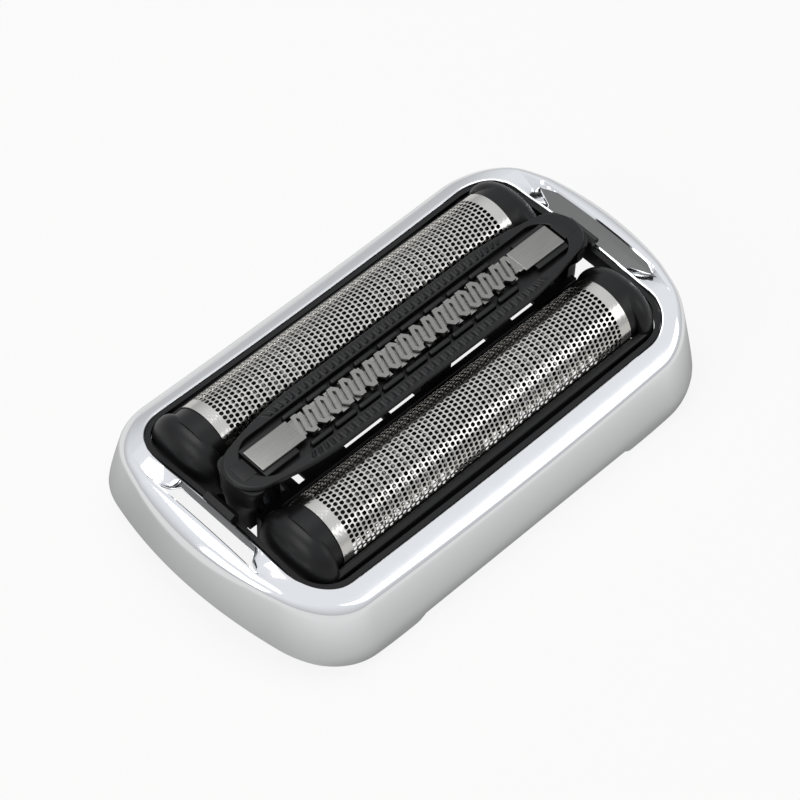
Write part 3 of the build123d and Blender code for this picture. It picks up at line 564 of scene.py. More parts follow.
def foil_surface(sizes, centre_y):
    """Perforated sheet: a lattice of six-sided cells in (x, arc length), each with a rounded square hole.

    The cells are regular hexagons stretched along x, and the hole's edge is a superellipse at twelve angles.
    Cells outside the field stay solid, and cells over the border are trimmed by clamping their points to it.
    """
    across, along = sizes.hole_row, sizes.hole_column
    half_s = FOIL_RADIUS * math.pi / 2 + FOIL_LEG
    rows = np.arange(-math.ceil(half_s / across) - 1, math.ceil(half_s / across) + 2)
    cols = np.arange(-math.ceil(FOIL_HALF_L / along) - 1, math.ceil(FOIL_HALF_L / along) + 2)
    col, row = [k.ravel() for k in np.meshgrid(cols, rows, indexing="ij")]
    cx, cs = col * along, (row + 0.5 * (col % 2)) * across
    k = np.arange(CELL_POINTS)
    angle = k * 2 * math.pi / CELL_POINTS
    edge = np.where(k % 2, across / 2, across / math.sqrt(3))
    stretch = along / (across * math.sqrt(3) / 2)
    rim_x = np.clip(cx[:, None] + stretch * edge * np.cos(angle), -FOIL_HALF_L, FOIL_HALF_L)
    rim_s = np.clip(cs[:, None] + edge * np.sin(angle), -half_s, half_s)
    area = (rim_x * np.roll(rim_s, -1, 1) - rim_s * np.roll(rim_x, -1, 1)).sum(1) / 2
    keep = area > 1e-3
    cx, cs, rim_x, rim_s = cx[keep], cs[keep], rim_x[keep], rim_s[keep]
    field = np.abs(cx) < FOIL_HALF_L - FOIL_BAND
    field &= np.abs(cs) < FOIL_RADIUS * math.radians(FOIL_FIELD_ANGLE)
    powers = np.abs(np.cos(angle)) ** HOLE_SQUARE + np.abs(np.sin(angle)) ** HOLE_SQUARE
    square = powers ** (-1 / HOLE_SQUARE)
    hole_x = cx[:, None] + sizes.hole_length / 2 * square * np.cos(angle)
    hole_s = cs[:, None] + sizes.hole_width / 2 * square * np.sin(angle)
    inner = FOIL_RADIUS - sizes.foil_sheet
    layers = [on_arch(rim_x, rim_s, FOIL_RADIUS, centre_y), on_arch(hole_x, hole_s, FOIL_RADIUS, centre_y),
              on_arch(hole_x, hole_s, inner, centre_y), on_arch(rim_x, rim_s, inner, centre_y)]
    points = np.stack(layers, 1).reshape(-1, 3)
    base = np.arange(len(cx))[:, None] * len(layers) * CELL_POINTS
    k2 = (k + 1) % CELL_POINTS
    rings = []
    for layer in range(len(layers) - 1):
        upper = base[field] + layer * CELL_POINTS
        lower = upper + CELL_POINTS
        rings.append(np.stack([upper + k, upper + k2, lower + k2, lower + k], -1))
    quads = np.concatenate([ring.reshape(-1, 4) for ring in rings])
    solid = base[~field]
    plates = np.concatenate([solid + k, solid + (len(layers) - 1) * CELL_POINTS + k[::-1]])
    return points, [tuple(q) for q in quads] + [tuple(p) for p in plates]


def close_border(obj):
    """Joins the two open borders of a thin sheet with a narrow wall."""
    work = bmesh.new()
    work.from_mesh(obj.data)
    border = [e for e in work.edges if e.is_boundary]
    bmesh.ops.bridge_loops(work, edges=border)
    bmesh.ops.recalc_face_normals(work, faces=work.faces)
    work.to_mesh(obj.data)
    work.free()
    obj.data.shade_smooth()
    obj.data.set_sharp_from_angle(angle=math.radians(CREASE))


# cutter blades under the foils, sizes in mm
BLADE_LOW, BLADE_HIGH = node_box("rear_cutter_blades")
BLADE_RADIUS = FOIL_RADIUS - 0.45
BLADE_STEPS = 40
BLADE_DEPTH = 1.0
BLADE_COUNT = 28
BLADE_THICKNESS = 0.28


def blade_row(centre_y):
    """Row of arched blades: a ring sector's four edges carried round the half circle, repeated along x."""
    x = np.linspace(BLADE_LOW[0], BLADE_HIGH[0] - BLADE_THICKNESS, BLADE_COUNT)
    turn = np.linspace(-math.pi / 2, math.pi / 2, BLADE_STEPS)
    inside = BLADE_RADIUS - BLADE_DEPTH
    section = [(0, BLADE_RADIUS), (0, inside), (BLADE_THICKNESS, inside), (BLADE_THICKNESS, BLADE_RADIUS)]
    dx, radius = np.array(section).T
    grid = np.stack(np.broadcast_arrays(
        dx, centre_y + np.sin(turn)[:, None] * radius, FOIL_AXIS_Z + np.cos(turn)[:, None] * radius), -1)
    quads = [tuple(q[::-1]) for q in grid_quads(len(turn), 4, False, True)]
    last = (len(turn) - 1) * 4
    quads += [(0, 1, 2, 3), (last + 3, last + 2, last + 1, last)]
    shift = np.array([1.0, 0, 0])
    return join_grids([(grid.reshape(-1, 3) + shift * place, quads) for place in x])


# foil pods, sizes in mm
POD_HALF_W = (POD_HIGH[1] - POD_LOW[1]) / 2
POD_TIP = POD_HIGH[0]
POD_MOUTH = 21.5
POD_AXIS_Z = 8.3
POD_BASE = 7.9
RAIL_TOP = 9.6
RAIL_INSIDE = FOIL_RADIUS + 0.05
NOSE_BASE = 8.2
NOSE_PEAK = 22.35
NOSE_LIP = 4.62
MOUTH_RECESS = 1.2
NOSE_WALL, NOSE_START = 0.32, 0.06
# roll of the mouth's lip: steps past the mouth and outwards
NOSE_ROLL = ((0.3, 0.0), (NOSE_START, 0.05), (0.0, 0.16))
NOSE_ROUND, NOSE_SQUARE = 0.6, 2.25
RAIL_OVERLAP, RAIL_ROUND_OUT, RAIL_ROUND_IN = 1.3, 0.42, 0.18
SILL_INSET, SILL_DEPTH, SILL_RISE = 0.5, 0.8, 0.3
LEG_X, LEG_WIDTH, LEG_THICKNESS, LEG_FOOT, LEG_SINK = 20.4, 1.6, 0.9, 4.4, 0.3
HOOK_REACH, HOOK_HEIGHT = 0.5, 0.5
TAB_INNER, TAB_WIDTH, TAB_THICKNESS, TAB_SINK = 18.6, 3.0, 0.5, 0.4
POD_BLOCK_ROUND = 0.12
SLEEVE_X, SLEEVE_IN, SLEEVE_OUT = (20.2, 22.5), FOIL_RADIUS - 0.42, FOIL_RADIUS - 0.14


def nose_surface(centre_y, end):
    """Domed end of a pod: a superelliptic arch whose radius follows a lip, a swell and a round-off along x.

    The profile starts at the back of the mouth recess, rolls over the lip, swells to the full width and
    closes at the tip as a power of the cosine.
    """
    rise = np.linspace(0, math.pi / 2, 9)
    fall = np.linspace(0, math.pi / 2, 26)[1:]
    lip_in = NOSE_LIP - NOSE_WALL
    x = np.concatenate([
        [POD_MOUTH + MOUTH_RECESS, POD_MOUTH + MOUTH_RECESS] + [POD_MOUTH + past for past, _ in NOSE_ROLL],
        POD_MOUTH + NOSE_START + (NOSE_PEAK - POD_MOUTH - NOSE_START) * (1 - np.cos(rise)),
        NOSE_PEAK + (POD_TIP - NOSE_PEAK) * np.sin(fall)])
    r = np.concatenate([
        [0.0, lip_in] + [lip_in + out for _, out in NOSE_ROLL],
        NOSE_LIP + (POD_HALF_W - NOSE_LIP) * np.sin(rise),
        POD_HALF_W * np.cos(fall).clip(0) ** NOSE_ROUND])
    turn = np.linspace(-math.pi / 2, math.pi / 2, 49)
    power = 2 / NOSE_SQUARE
    across = np.sign(np.sin(turn)) * np.abs(np.sin(turn)) ** power
    up = np.abs(np.cos(turn)) ** power
    across = np.concatenate([[-1], across, [1]])
    height = np.concatenate([[0.0], up, [0.0]])
    z = POD_AXIS_Z + r[:, None] * height
    z[:, 0] = z[:, -1] = NOSE_BASE
    grid = np.stack([np.broadcast_to(end * x[:, None], z.shape), centre_y + r[:, None] * across, z], -1)
    quads = grid_quads(len(x), grid.shape[1], False, True)
    return grid.reshape(-1, 3), quads[:, ::-1] if end < 0 else quads


def rail_surface(centre_y, hand):
    """Side rail of a pod: a rounded strip section carried along x between the two noses."""
    wall = POD_HALF_W - RAIL_INSIDE
    turn = np.linspace(0, math.pi / 2, 8)
    over, down = 1 - np.cos(turn), 1 - np.sin(turn)
    out = np.stack([POD_HALF_W - RAIL_ROUND_OUT * over, RAIL_TOP - RAIL_ROUND_OUT * down], -1)
    back = np.stack([RAIL_INSIDE + RAIL_ROUND_IN * down, RAIL_TOP - RAIL_ROUND_IN * over], -1)
    low = np.array([[POD_HALF_W - wall, POD_BASE], [POD_HALF_W, POD_BASE]])
    section = np.concatenate([low, out, back])
    x = np.array([-POD_MOUTH - RAIL_OVERLAP, -POD_MOUTH, POD_MOUTH, POD_MOUTH + RAIL_OVERLAP])
    grid = np.zeros((len(x), len(section), 3))
    grid[..., 0] = x[:, None]
    grid[..., 1] = centre_y + hand * section[:, 0]
    grid[..., 2] = section[:, 1]
    quads = grid_quads(len(x), len(section), False, True)
    quads = quads if hand < 0 else quads[:, ::-1]
    count, last = len(section), (len(x) - 1) * len(section)
    caps = [tuple(range(count)), tuple(range(last, last + count))]
    caps = [caps[0][::-1], caps[1]] if hand > 0 else [caps[0], caps[1][::-1]]
    return grid.reshape(-1, 3), [tuple(q) for q in quads] + caps


def sleeve_surface(centre_y, end):
    """Short half tube that carries the foil's end into the nose: a ring sector's section round the arch."""
    turn = np.linspace(-math.pi / 2, math.pi / 2, 33)[:, None]
    x, radius = np.array([(SLEEVE_X[0], SLEEVE_OUT), (SLEEVE_X[1], SLEEVE_OUT), (SLEEVE_X[1], SLEEVE_IN),
                          (SLEEVE_X[0], SLEEVE_IN)]).T
    grid = np.stack(np.broadcast_arrays(
        end * x, centre_y + np.sin(turn) * radius, FOIL_AXIS_Z + np.cos(turn) * radius), -1)
    quads = grid_quads(len(turn), 4, False, True)
    last = (len(turn) - 1) * 4
    caps = [(3, 2, 1, 0), (last, last + 1, last + 2, last + 3)]
    faces = [tuple(q) for q in quads] + caps
    return grid.reshape(-1, 3), faces if end > 0 else [face[::-1] for face in faces]


def pod_surface(side):
    """Whole pod: two noses and sleeves, two rails, the sills, tabs and guide legs under them."""
    cy = side * FOIL_Y
    leg_y = side * (FOIL_Y + POD_HALF_W - LEG_THICKNESS / 2)
    leg_low, leg_high = leg_y - LEG_THICKNESS / 2, leg_y + LEG_THICKNESS / 2
    blocks = {
        "tab": ((TAB_INNER, cy - TAB_WIDTH / 2, POD_BASE),
                (POD_MOUTH + TAB_SINK, cy + TAB_WIDTH / 2, POD_BASE + TAB_THICKNESS)),
        "sill": ((POD_MOUTH, cy - POD_HALF_W + SILL_INSET, POD_BASE),
                 (POD_MOUTH + SILL_DEPTH, cy + POD_HALF_W - SILL_INSET, NOSE_BASE + SILL_RISE)),
        "leg": ((LEG_X - LEG_WIDTH / 2, leg_low, LEG_FOOT),
                (LEG_X + LEG_WIDTH / 2, leg_high, POD_BASE + LEG_SINK)),
        "hook": ((LEG_X, leg_low, LEG_FOOT),
                 (LEG_X + LEG_WIDTH / 2 + HOOK_REACH, leg_high, LEG_FOOT + HOOK_HEIGHT)),
    }
    grids = [rail_surface(cy, hand) for hand in (-1, 1)]
    for end in (-1, 1):
        grids += [nose_surface(cy, end), sleeve_surface(cy, end)]
        grids += [end_block(end, low, high, POD_BLOCK_ROUND, 3) for low, high in blocks.values()]
    return join_grids(grids)


# carrier webs under the trimmer, sizes in mm
WEB_SPANS = ((-17.6, -16.5), (-15.5, -13.5))
WEB_HALF_W, WEB_BOTTOM, WEB_TOP, WEB_ROUND = 1.85, 7.6, 8.2, 0.1

# trimmer, sizes in mm
TRIM_TOP = TRIM_HIGH[2]
TRIM_HALF_W = TRIM_HIGH[1]
TRIM_TIP = TRIM_HIGH[0]
TRIM_STRAIGHT, TRIM_SHOULDER_X, TRIM_SHOULDER_Y, TRIM_BULGE = 13.0, 21.6, 3.1, 0.25
TRIM_DECK = TRIM_TOP - 0.2
TRIM_EDGE_ROUND = 0.4
TRIM_EDGE_LOW = 14.35
TRIM_HULL_LOW, TRIM_HULL_IN = 13.0, 1.17
CHANNEL_HALF_W, CHANNEL_HALF_L, CHANNEL_FLOOR = 2.75, 22.2, 14.1
RIB_PITCH = 0.93
RIB_HALF_SPAN = 17.4
RIB_HEIGHT = 0.25
RIB_SHARPNESS, RIB_RUNOUT = 1.6, 0.5
# part of the deck's width that the ribs take, and the width of their ramps as a share of it
RIB_WINDOW, RIB_RAMP = (0.12, 0.96), 0.1
DECK_BEVEL, DECK_BEVEL_MIDDLE = 0.14, 0.04
HULL_LIMIT = 0.9
SLIDER_X, SLIDER_HALF = 3.1, (3.4, 1.55)
PROW_INNER, PROW_FOOT, PROW_HALF_W, PROW_BODY = 22.3, 7.3, 1.5, 2.6
PROW_ARCH = (9.2, 11.6)
PROW_SINK, PROW_SIDE_INSET, PROW_TIP_INSET, PROW_ROUND = 0.5, 0.12, 0.06, 0.55
BED_START, BED_HALF_W, BED_TOP, BED_SINK = 16.9, 2.1, 14.8, 0.2
BRACE_X, BRACE_LOW = (17.7, 21.1), 11.2
POST_FOOT_X, POST_FOOT_Z = (20.9, 23.2), (6.7, 7.35)
INLAY_X, INLAY_HALF_W, INLAY_LOW, INLAY_PROUD = (21.75, 23.5), 1.15, 14.4, 0.04
FINGER_PITCH = 1.642
SCALLOP_HALF_SPAN, SCALLOP_Y = 15.6, (1.78, 2.42)
SCALLOP_START, SCALLOP_SHARE, SCALLOP_DROP, SCALLOP_ROUND = 0.06, 0.88, 0.06, 0.26


def trimmer_stations():
    """Half of the boat plan with the channel edge beside it, from the left tip to the right tip."""
    flat = np.arange(0, TRIM_STRAIGHT, RIB_PITCH / 9)
    t = np.linspace(0, 1, 80)
    arc_x = TRIM_STRAIGHT + t * (TRIM_SHOULDER_X - TRIM_STRAIGHT)
    arc_y = TRIM_HALF_W + t * (TRIM_SHOULDER_Y - TRIM_HALF_W) + 4 * TRIM_BULGE * t * (1 - t)
    depth = TRIM_TIP - TRIM_SHOULDER_X
    radius = (TRIM_SHOULDER_Y ** 2 + depth ** 2) / (2 * depth)
    start = math.asin(min(1.0, TRIM_SHOULDER_Y / radius))
    turn = np.linspace(start, 0, 24)[1:]
    tip = np.stack([TRIM_TIP - radius + radius * np.cos(turn), radius * np.sin(turn)], -1)
    straight_end = CHANNEL_HALF_L - CHANNEL_HALF_W
    bend = np.linspace(math.pi / 2, 0, 24)[1:]
    outer = np.concatenate([np.stack([flat, np.full_like(flat, TRIM_HALF_W)], -1),
                            np.stack([arc_x, arc_y], -1), tip])
    inner = np.concatenate([
        np.stack([flat, np.full_like(flat, CHANNEL_HALF_W)], -1),
        np.stack([TRIM_STRAIGHT + t * (straight_end - TRIM_STRAIGHT), np.full_like(t, CHANNEL_HALF_W)], -1),
        np.stack([straight_end + CHANNEL_HALF_W * np.cos(bend), CHANNEL_HALF_W * np.sin(bend)], -1)])
    flip = np.array([-1.0, 1.0])
    return np.concatenate([outer[:0:-1] * flip, outer]), np.concatenate([inner[:0:-1] * flip, inner])


def trimmer_half():
    """Half of the trimmer shell: floor, channel wall, ribbed deck, rounded edge, hull and underside.

    The ribs are a raised cosine along x, cut off smoothly at both ends of each rib by a bump across the deck.
    """
    outer, inner = trimmer_stations()
    gap = np.linalg.norm(outer - inner, axis=-1)
    along = (outer - inner) / gap[:, None]
    hole = (np.abs(inner[:, 0] - SLIDER_X) < SLIDER_HALF[0]) * SLIDER_HALF[1]
    middle = np.stack([inner[:, 0], hole], -1)
    deck_stop = gap - TRIM_EDGE_ROUND
    wave = np.clip(0.5 + 0.5 * np.cos(2 * math.pi * outer[:, 0] / RIB_PITCH), 0, 1) ** RIB_SHARPNESS
    wave *= np.clip((RIB_HALF_SPAN - np.abs(outer[:, 0])) / RIB_RUNOUT, 0, 1)
    z_flat = np.full(len(gap), TRIM_DECK)
    z_floor = np.full(len(gap), CHANNEL_FLOOR)
    columns = [lift(middle, z_floor), lift(inner, z_floor), lift(inner, z_flat - DECK_BEVEL),
               lift(inner + along * DECK_BEVEL_MIDDLE, z_flat - DECK_BEVEL_MIDDLE)]
    for k in np.linspace(0, 1, 15):
        span = DECK_BEVEL + (deck_stop - DECK_BEVEL) * k
        window = np.clip(np.minimum(k - RIB_WINDOW[0], RIB_WINDOW[1] - k) / RIB_RAMP, 0, 1)
        bump = RIB_HEIGHT * wave * window * window * (3 - 2 * window)
        columns.append(lift(inner + along * np.asarray(span)[..., None], z_flat + bump))
    edge_top = lift(inner + along * deck_stop[:, None], z_flat)
    edge_low = lift(outer, z_flat - TRIM_EDGE_ROUND)
    columns += list(rational_arc(edge_top, lift(outer, z_flat), edge_low, 9))[1:]
    columns.append(lift(outer, np.full(len(gap), TRIM_EDGE_LOW)))
    for k in np.linspace(0, 1, 6)[1:]:
        step = TRIM_HULL_IN * math.sin(k * math.pi / 2)
        drop = TRIM_EDGE_LOW + (TRIM_HULL_LOW - TRIM_EDGE_LOW) * (1 - math.cos(k * math.pi / 2))
        inward = np.minimum(step, HULL_LIMIT * np.linalg.norm(outer - middle, axis=-1))[:, None]
        aim = (middle - outer) / np.maximum(np.linalg.norm(middle - outer, axis=-1), 1e-6)[:, None]
        columns.append(lift(outer + aim * inward, np.full(len(gap), drop)))
    columns.append(lift(middle, np.full(len(gap), TRIM_HULL_LOW)))
    grid = np.stack(columns, 1)
    quads = grid_quads(grid.shape[0], grid.shape[1])
    last = grid.shape[1]
    i = np.arange(len(gap) - 1)
    both = (hole[i] > 0) | (hole[i + 1] > 0)
    wall = np.stack([i * last + last - 1, i * last, (i + 1) * last, (i + 1) * last + last - 1], -1)[both]
    return grid, np.concatenate([quads, wall])


def prow_surface(end):
    """End post of the trimmer: the plan's nose carried down, drawn in to a narrow foot by a squared share."""
    z = np.linspace(PROW_FOOT, TRIM_DECK - PROW_SINK, 40)
    arch = np.clip((z - PROW_ARCH[0]) / (PROW_ARCH[1] - PROW_ARCH[0]), 0, 1) ** 2
    flare = np.clip(z - TRIM_HULL_LOW, 0, 1)
    width = PROW_HALF_W + (PROW_BODY - PROW_HALF_W) * arch
    width += (TRIM_SHOULDER_Y - PROW_SIDE_INSET - PROW_BODY) * flare
    turn = np.linspace(-math.pi / 2, math.pi / 2, 25)
    depth = TRIM_TIP - PROW_TIP_INSET - PROW_INNER
    x = PROW_INNER + depth * np.cos(turn) ** PROW_ROUND
    grid = np.zeros((len(z), len(turn), 3))
    grid[..., 0] = end * x
    grid[..., 1] = end * width[:, None] * np.sin(turn)
    grid[..., 2] = z[:, None]
    quads = grid_quads(len(z), len(turn), False, True)
    count, last = len(turn), (len(z) - 1) * len(turn)
    caps = [tuple(range(count))[::-1], tuple(range(last, last + count))]
    return grid.reshape(-1, 3), [tuple(q) for q in quads] + caps


def trimmer_surface():
    """Whole trimmer body: two shell halves, the end posts, bed blocks, the scalloped rim and the inlay."""
    half, quads = trimmer_half()
    mirror = np.array([1.0, -1.0, 1.0])
    flat = half.reshape(-1, 3)
    bed_low = CHANNEL_FLOOR - BED_SINK
    # low corner, high corner and edge radius of the blocks at each end
    blocks = {
        "bed": ((BED_START, -BED_HALF_W, bed_low), (GUARD_HIGH[0] + 0.1, BED_HALF_W, BED_TOP), 0.1),
        "brace": ((BRACE_X[0], -PROW_HALF_W, BRACE_LOW), (BRACE_X[1], PROW_HALF_W, TRIM_HULL_LOW + 0.3), 0.15),
        "foot": ((POST_FOOT_X[0], -PROW_HALF_W, POST_FOOT_Z[0]),
                 (POST_FOOT_X[1], PROW_HALF_W, POST_FOOT_Z[1]), 0.12),
        "inlay": ((INLAY_X[0], -INLAY_HALF_W, INLAY_LOW),
                  (INLAY_X[1], INLAY_HALF_W, TRIM_DECK + INLAY_PROUD), 0.05),
    }
    grids = [(flat, quads[:, ::-1]), (flat * mirror, quads)]
    for end in (-1, 1):
        grids.append(prow_surface(end))
        grids += [end_block(end, low, high, radius, 3) for low, high, radius in blocks.values()]
    pitch = 2 * FINGER_PITCH
    for n in range(int(2 * SCALLOP_HALF_SPAN / pitch)):
        x0 = -SCALLOP_HALF_SPAN + pitch * (n + SCALLOP_START)
        for side in (-1, 1):
            near, far = sorted((side * SCALLOP_Y[0], side * SCALLOP_Y[1]))
            high = (x0 + pitch * SCALLOP_SHARE, far, BED_TOP - SCALLOP_DROP)
            grids.append(rounded_block((x0, near, bed_low), high, SCALLOP_ROUND, 4))
    return join_grids(grids)


# comb guard, sizes in mm
GUARD_TOP = GUARD_HIGH[2]
GUARD_LOW_Z = GUARD_LOW[2]
GUARD_HALF_L = GUARD_HIGH[0]
PLATE_INNER, PLATE_HALF_W = 15.6, 1.48
COMB_LEGS = 38
COMB_HALF_BAND = 0.255
COMB_LEAN = 0.34
COMB_REACH, COMB_SHOULDER, COMB_FLAT = 1.22, 0.78, 0.4
COMB_ROOT, NECK_LENGTH, NECK_STEP, COMB_SET = 0.5, 0.6, 0.3, 0.01
COMB_BEVEL, MITRE_LIMIT = 0.04, 0.42


def comb_path():
    """Path of the comb's band: leaning legs joined by loops that have one square and one cut corner each."""
    step = 2 * PLATE_INNER / COMB_LEGS
    square, cut = (np.array([COMB_LEAN, 1.0]) * reach for reach in (COMB_REACH, COMB_SHOULDER))
    flat = np.array([COMB_FLAT * step, 0.0])
    points = [np.array([-PLATE_INNER - COMB_ROOT, -COMB_REACH])]
    for k in range(COMB_LEGS):
        leg = np.array([-PLATE_INNER + (k + 0.5) * step, 0.0])
        if k % 2 == 0:
            points += [leg - flat - square, leg - square, leg + square, leg + flat + square]
        else:
            points += [leg + cut, leg - cut]
    points.append(np.array([PLATE_INNER + COMB_ROOT, -COMB_SHOULDER]))
    return np.array(points)


def comb_surface():
    """Comb band: a bevelled strip section carried along the path, with mitred corners, and two end plates.

    At a corner the offset is the half width along the bisector, divided by the cosine of half the turn.
    """
    path = comb_path()
    step = np.diff(path, axis=0)
    step /= np.linalg.norm(step, axis=-1, keepdims=True)
    side = np.stack([-step[:, 1], step[:, 0]], -1)
    before, after = np.concatenate([side[:1], side]), np.concatenate([side, side[-1:]])
    bisector = before + after
    length = np.linalg.norm(bisector, axis=-1, keepdims=True)
    mitre = bisector / length / np.maximum(length / 2, MITRE_LIMIT)
    low, top = GUARD_LOW_Z + COMB_SET, GUARD_TOP - COMB_SET
    section = np.array([(-1, low), (1, low), (1, top - COMB_BEVEL), (1 - COMB_BEVEL / COMB_HALF_BAND, top),
                        (COMB_BEVEL / COMB_HALF_BAND - 1, top), (-1, top - COMB_BEVEL)])
    plan = path[:, None] + mitre[:, None] * (section[:, 0] * COMB_HALF_BAND)[None, :, None]
    grid = lift(plan, np.broadcast_to(section[:, 1], plan.shape[:2]))
    quads = grid_quads(len(path), len(section), False, True)
    count, last = len(section), (len(path) - 1) * len(section)
    caps = [tuple(range(count)), tuple(range(last, last + count))[::-1]]
    grids = [(grid.reshape(-1, 3), [tuple(q) for q in quads] + caps)]
    for end in (-1, 1):
        grids.append(end_block(end, (PLATE_INNER, -PLATE_HALF_W, GUARD_LOW_Z),
                               (GUARD_HALF_L, PLATE_HALF_W, GUARD_TOP), 0.1, 5))
        grids.append(end_block(end, (PLATE_INNER - NECK_LENGTH, NECK_STEP - PLATE_HALF_W, low + COMB_SET),
                               (PLATE_INNER + COMB_ROOT, PLATE_HALF_W - NECK_STEP, top - COMB_SET), 0.08, 3))
    return join_grids(grids)


def finish(name):
    """Material of that name from the finishes made first."""
    return bpy.data.materials[name]


class SHAVER_OT_finishes(bpy.types.Operator):
    """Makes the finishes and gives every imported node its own."""

    bl_idname = "shaver.finishes"
    bl_label = "Finishes"

    def execute(self, context):
        colours = context.scene.shaver_colours
        chrome = chrome_plating(colours.chrome)
        gloss = black_moulding("moulded_black_abs", colours.black, "#101011", 0.32, 0.44, 0.25, 0.10, 0.3)
        satin = black_moulding("satin_black_pom", colours.black, "#131314", 0.36, 0.48, 0.18, 0.16, 0.32)
        foil = foil_nickel(colours.foil)
        comb = brushed_steel("brushed_stainless_steel", colours.comb, "#979693", 0.36)
        blade = brushed_steel("ground_blade_steel", "#8F8E8B", "#A5A4A1", 0.30)
        spring = brushed_steel("spring_steel", "#77787A", "#8E8F91", 0.38)
        bar = black_moulding("glass_filled_nylon", "#0F0F10", "#161617", 0.5, 0.6, 0.3, 0.2)
        for name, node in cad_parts.items():
            if name == "chrome_frame":
                chosen = chrome
            elif name.endswith("_foil"):
                chosen = foil
            elif "spring" in name:
                chosen = spring
            elif name == "trimmer_guard":
                chosen = comb
            elif name.endswith(("blade", "blades")):
                chosen = blade
            elif name.endswith(("bar", "slider")):
                chosen = bar
            elif name == "trimmer_body":
                chosen = satin
            else:
                chosen = gloss
            node.data.materials.clear()
            node.data.materials.append(chosen)
        return {"FINISHED"}


class SHAVER_OT_ring(bpy.types.Operator):
    """Builds the plated ring with its rounded shoulder, lip, end slots and foot recess."""

    bl_idname = "shaver.ring"
    bl_label = "Plated ring"

    def execute(self, context):
        verts, quads = ring_surface(context.scene.shaver_sizes)
        make_piece("plated_ring", verts, quads, finish("chrome_plated_abs"), HEAD, "chrome_plating",
                   ("chrome_frame",), 30.0)
        return {"FINISHED"}


class SHAVER_OT_foils(bpy.types.Operator):
    """Builds both arched foils with their full fields of holes."""

    bl_idname = "shaver.foils"
    bl_label = "Foils"

    def execute(self, context):
        for word, side in SIDES.items():
            verts, faces = foil_surface(context.scene.shaver_sizes, side * FOIL_Y)
            sheet = make_piece(word + "_foil_sheet", verts, faces, finish("electroformed_nickel_foil"),
                               word + "_pod", "foil_steel", (word + "_foil",))
            close_border(sheet)
        return {"FINISHED"}


class SHAVER_OT_cutters(bpy.types.Operator):
    """Builds the two rows of arched blades that show through the foils."""

    bl_idname = "shaver.cutters"
    bl_label = "Cutter blades"

    def execute(self, context):
        for word, side in SIDES.items():
            verts, faces = blade_row(side * FOIL_Y)
            make_piece(word + "_blade_row", verts, faces, finish("ground_blade_steel"), word + "_cutter",
                       "blade_steel", (word + "_cutter_blades",))
        return {"FINISHED"}


class SHAVER_OT_pods(bpy.types.Operator):
    """Builds both black foil pods with their domed noses."""

    bl_idname = "shaver.pods"
    bl_label = "Foil pods"

    def execute(self, context):
        for word, side in SIDES.items():
            verts, faces = pod_surface(side)
            make_piece(word + "_pod_shell", verts, faces, finish("moulded_black_abs"), word + "_pod",
                       "satin_black", (word + "_foil_pod",))
        return {"FINISHED"}


def merge_copy(mesh):
    """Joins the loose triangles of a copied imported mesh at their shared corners."""
    work = bmesh.new()
    work.from_mesh(mesh)
    bmesh.ops.remove_doubles(work, verts=work.verts, dist=MERGE * MM)
    work.to_mesh(mesh)
    work.free()
    mesh.shade_smooth()
    mesh.set_sharp_from_angle(angle=math.radians(CREASE))


class SHAVER_OT_springs(bpy.types.Operator):
    """Copies every leaf spring, joins its corners and hangs the copy on the head in place of the imported node.
    """

    bl_idname = "shaver.springs"
    bl_label = "Leaf springs"

    def execute(self, context):
        for name in [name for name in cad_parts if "spring" in name]:
            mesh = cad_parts[name].data.copy()
            mesh.transform(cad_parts[name].matrix_world)
            merge_copy(mesh)
            leaf = bpy.data.objects.new(name + "_leaf", mesh)
            context.scene.collection.objects.link(leaf)
            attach(leaf, HEAD)
            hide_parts(name)
            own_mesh(leaf)
        return {"FINISHED"}


class SHAVER_OT_web(bpy.types.Operator):
    """Builds the two end webs between the carrier's beams, seen past the trimmer."""

    bl_idname = "shaver.web"
    bl_label = "Carrier webs"

    def execute(self, context):
        blocks = [rounded_block((start, -WEB_HALF_W, WEB_BOTTOM), (stop, WEB_HALF_W, WEB_TOP), WEB_ROUND, 3)
                  for start, stop in WEB_SPANS]
        make_piece("carrier_end_webs", *join_grids(blocks), finish("moulded_black_abs"), HEAD, "black_moulding")
        return {"FINISHED"}


class SHAVER_OT_trimmer(bpy.types.Operator):
    """Builds the ribbed trimmer body and its comb guard."""

    bl_idname = "shaver.trimmer"
    bl_label = "Long-hair trimmer"

    def execute(self, context):
        verts, faces = trimmer_surface()
        make_piece("trimmer_shell", verts, faces, finish("satin_black_pom"), "trimmer", "black_moulding",
                   ("trimmer_body",), 40.0)
        verts, faces = comb_surface()
        make_piece("comb_guard", verts, faces, finish("brushed_stainless_steel"), "trimmer", "guard_steel",
                   ("trimmer_guard",), 25.0)
        return {"FINISHED"}


# photograph's view: angles in degrees, lengths in mm
CAMERA_AZIMUTH = -45.88
CAMERA_ELEVATION = 53.03
CAMERA_ROLL = 2.0
CAMERA_DISTANCE = 323.3
CAMERA_TARGET = (-2.38, -1.46, 9.26)
CAMERA_LENS = 142.7
CAMERA_SENSOR = 36.0


def camera_matrix():
    """Camera frame from azimuth, elevation and roll round the target."""
    a, e, r = (math.radians(k) for k in (CAMERA_AZIMUTH, CAMERA_ELEVATION, CAMERA_ROLL))
    back = np.array([math.sin(a) * math.cos(e), -math.cos(a) * math.cos(e), math.sin(e)])
    right = np.array([math.cos(a), math.sin(a), 0])
    up = np.cross(back, right)
    right, up = math.cos(r) * right + math.sin(r) * up, math.cos(r) * up - math.sin(r) * right
    place = (np.array(CAMERA_TARGET) + CAMERA_DISTANCE * back) * MM
    matrix = np.eye(4)
    matrix[:3] = np.stack([right, up, back, place], 1)
    return Matrix(matrix.tolist())


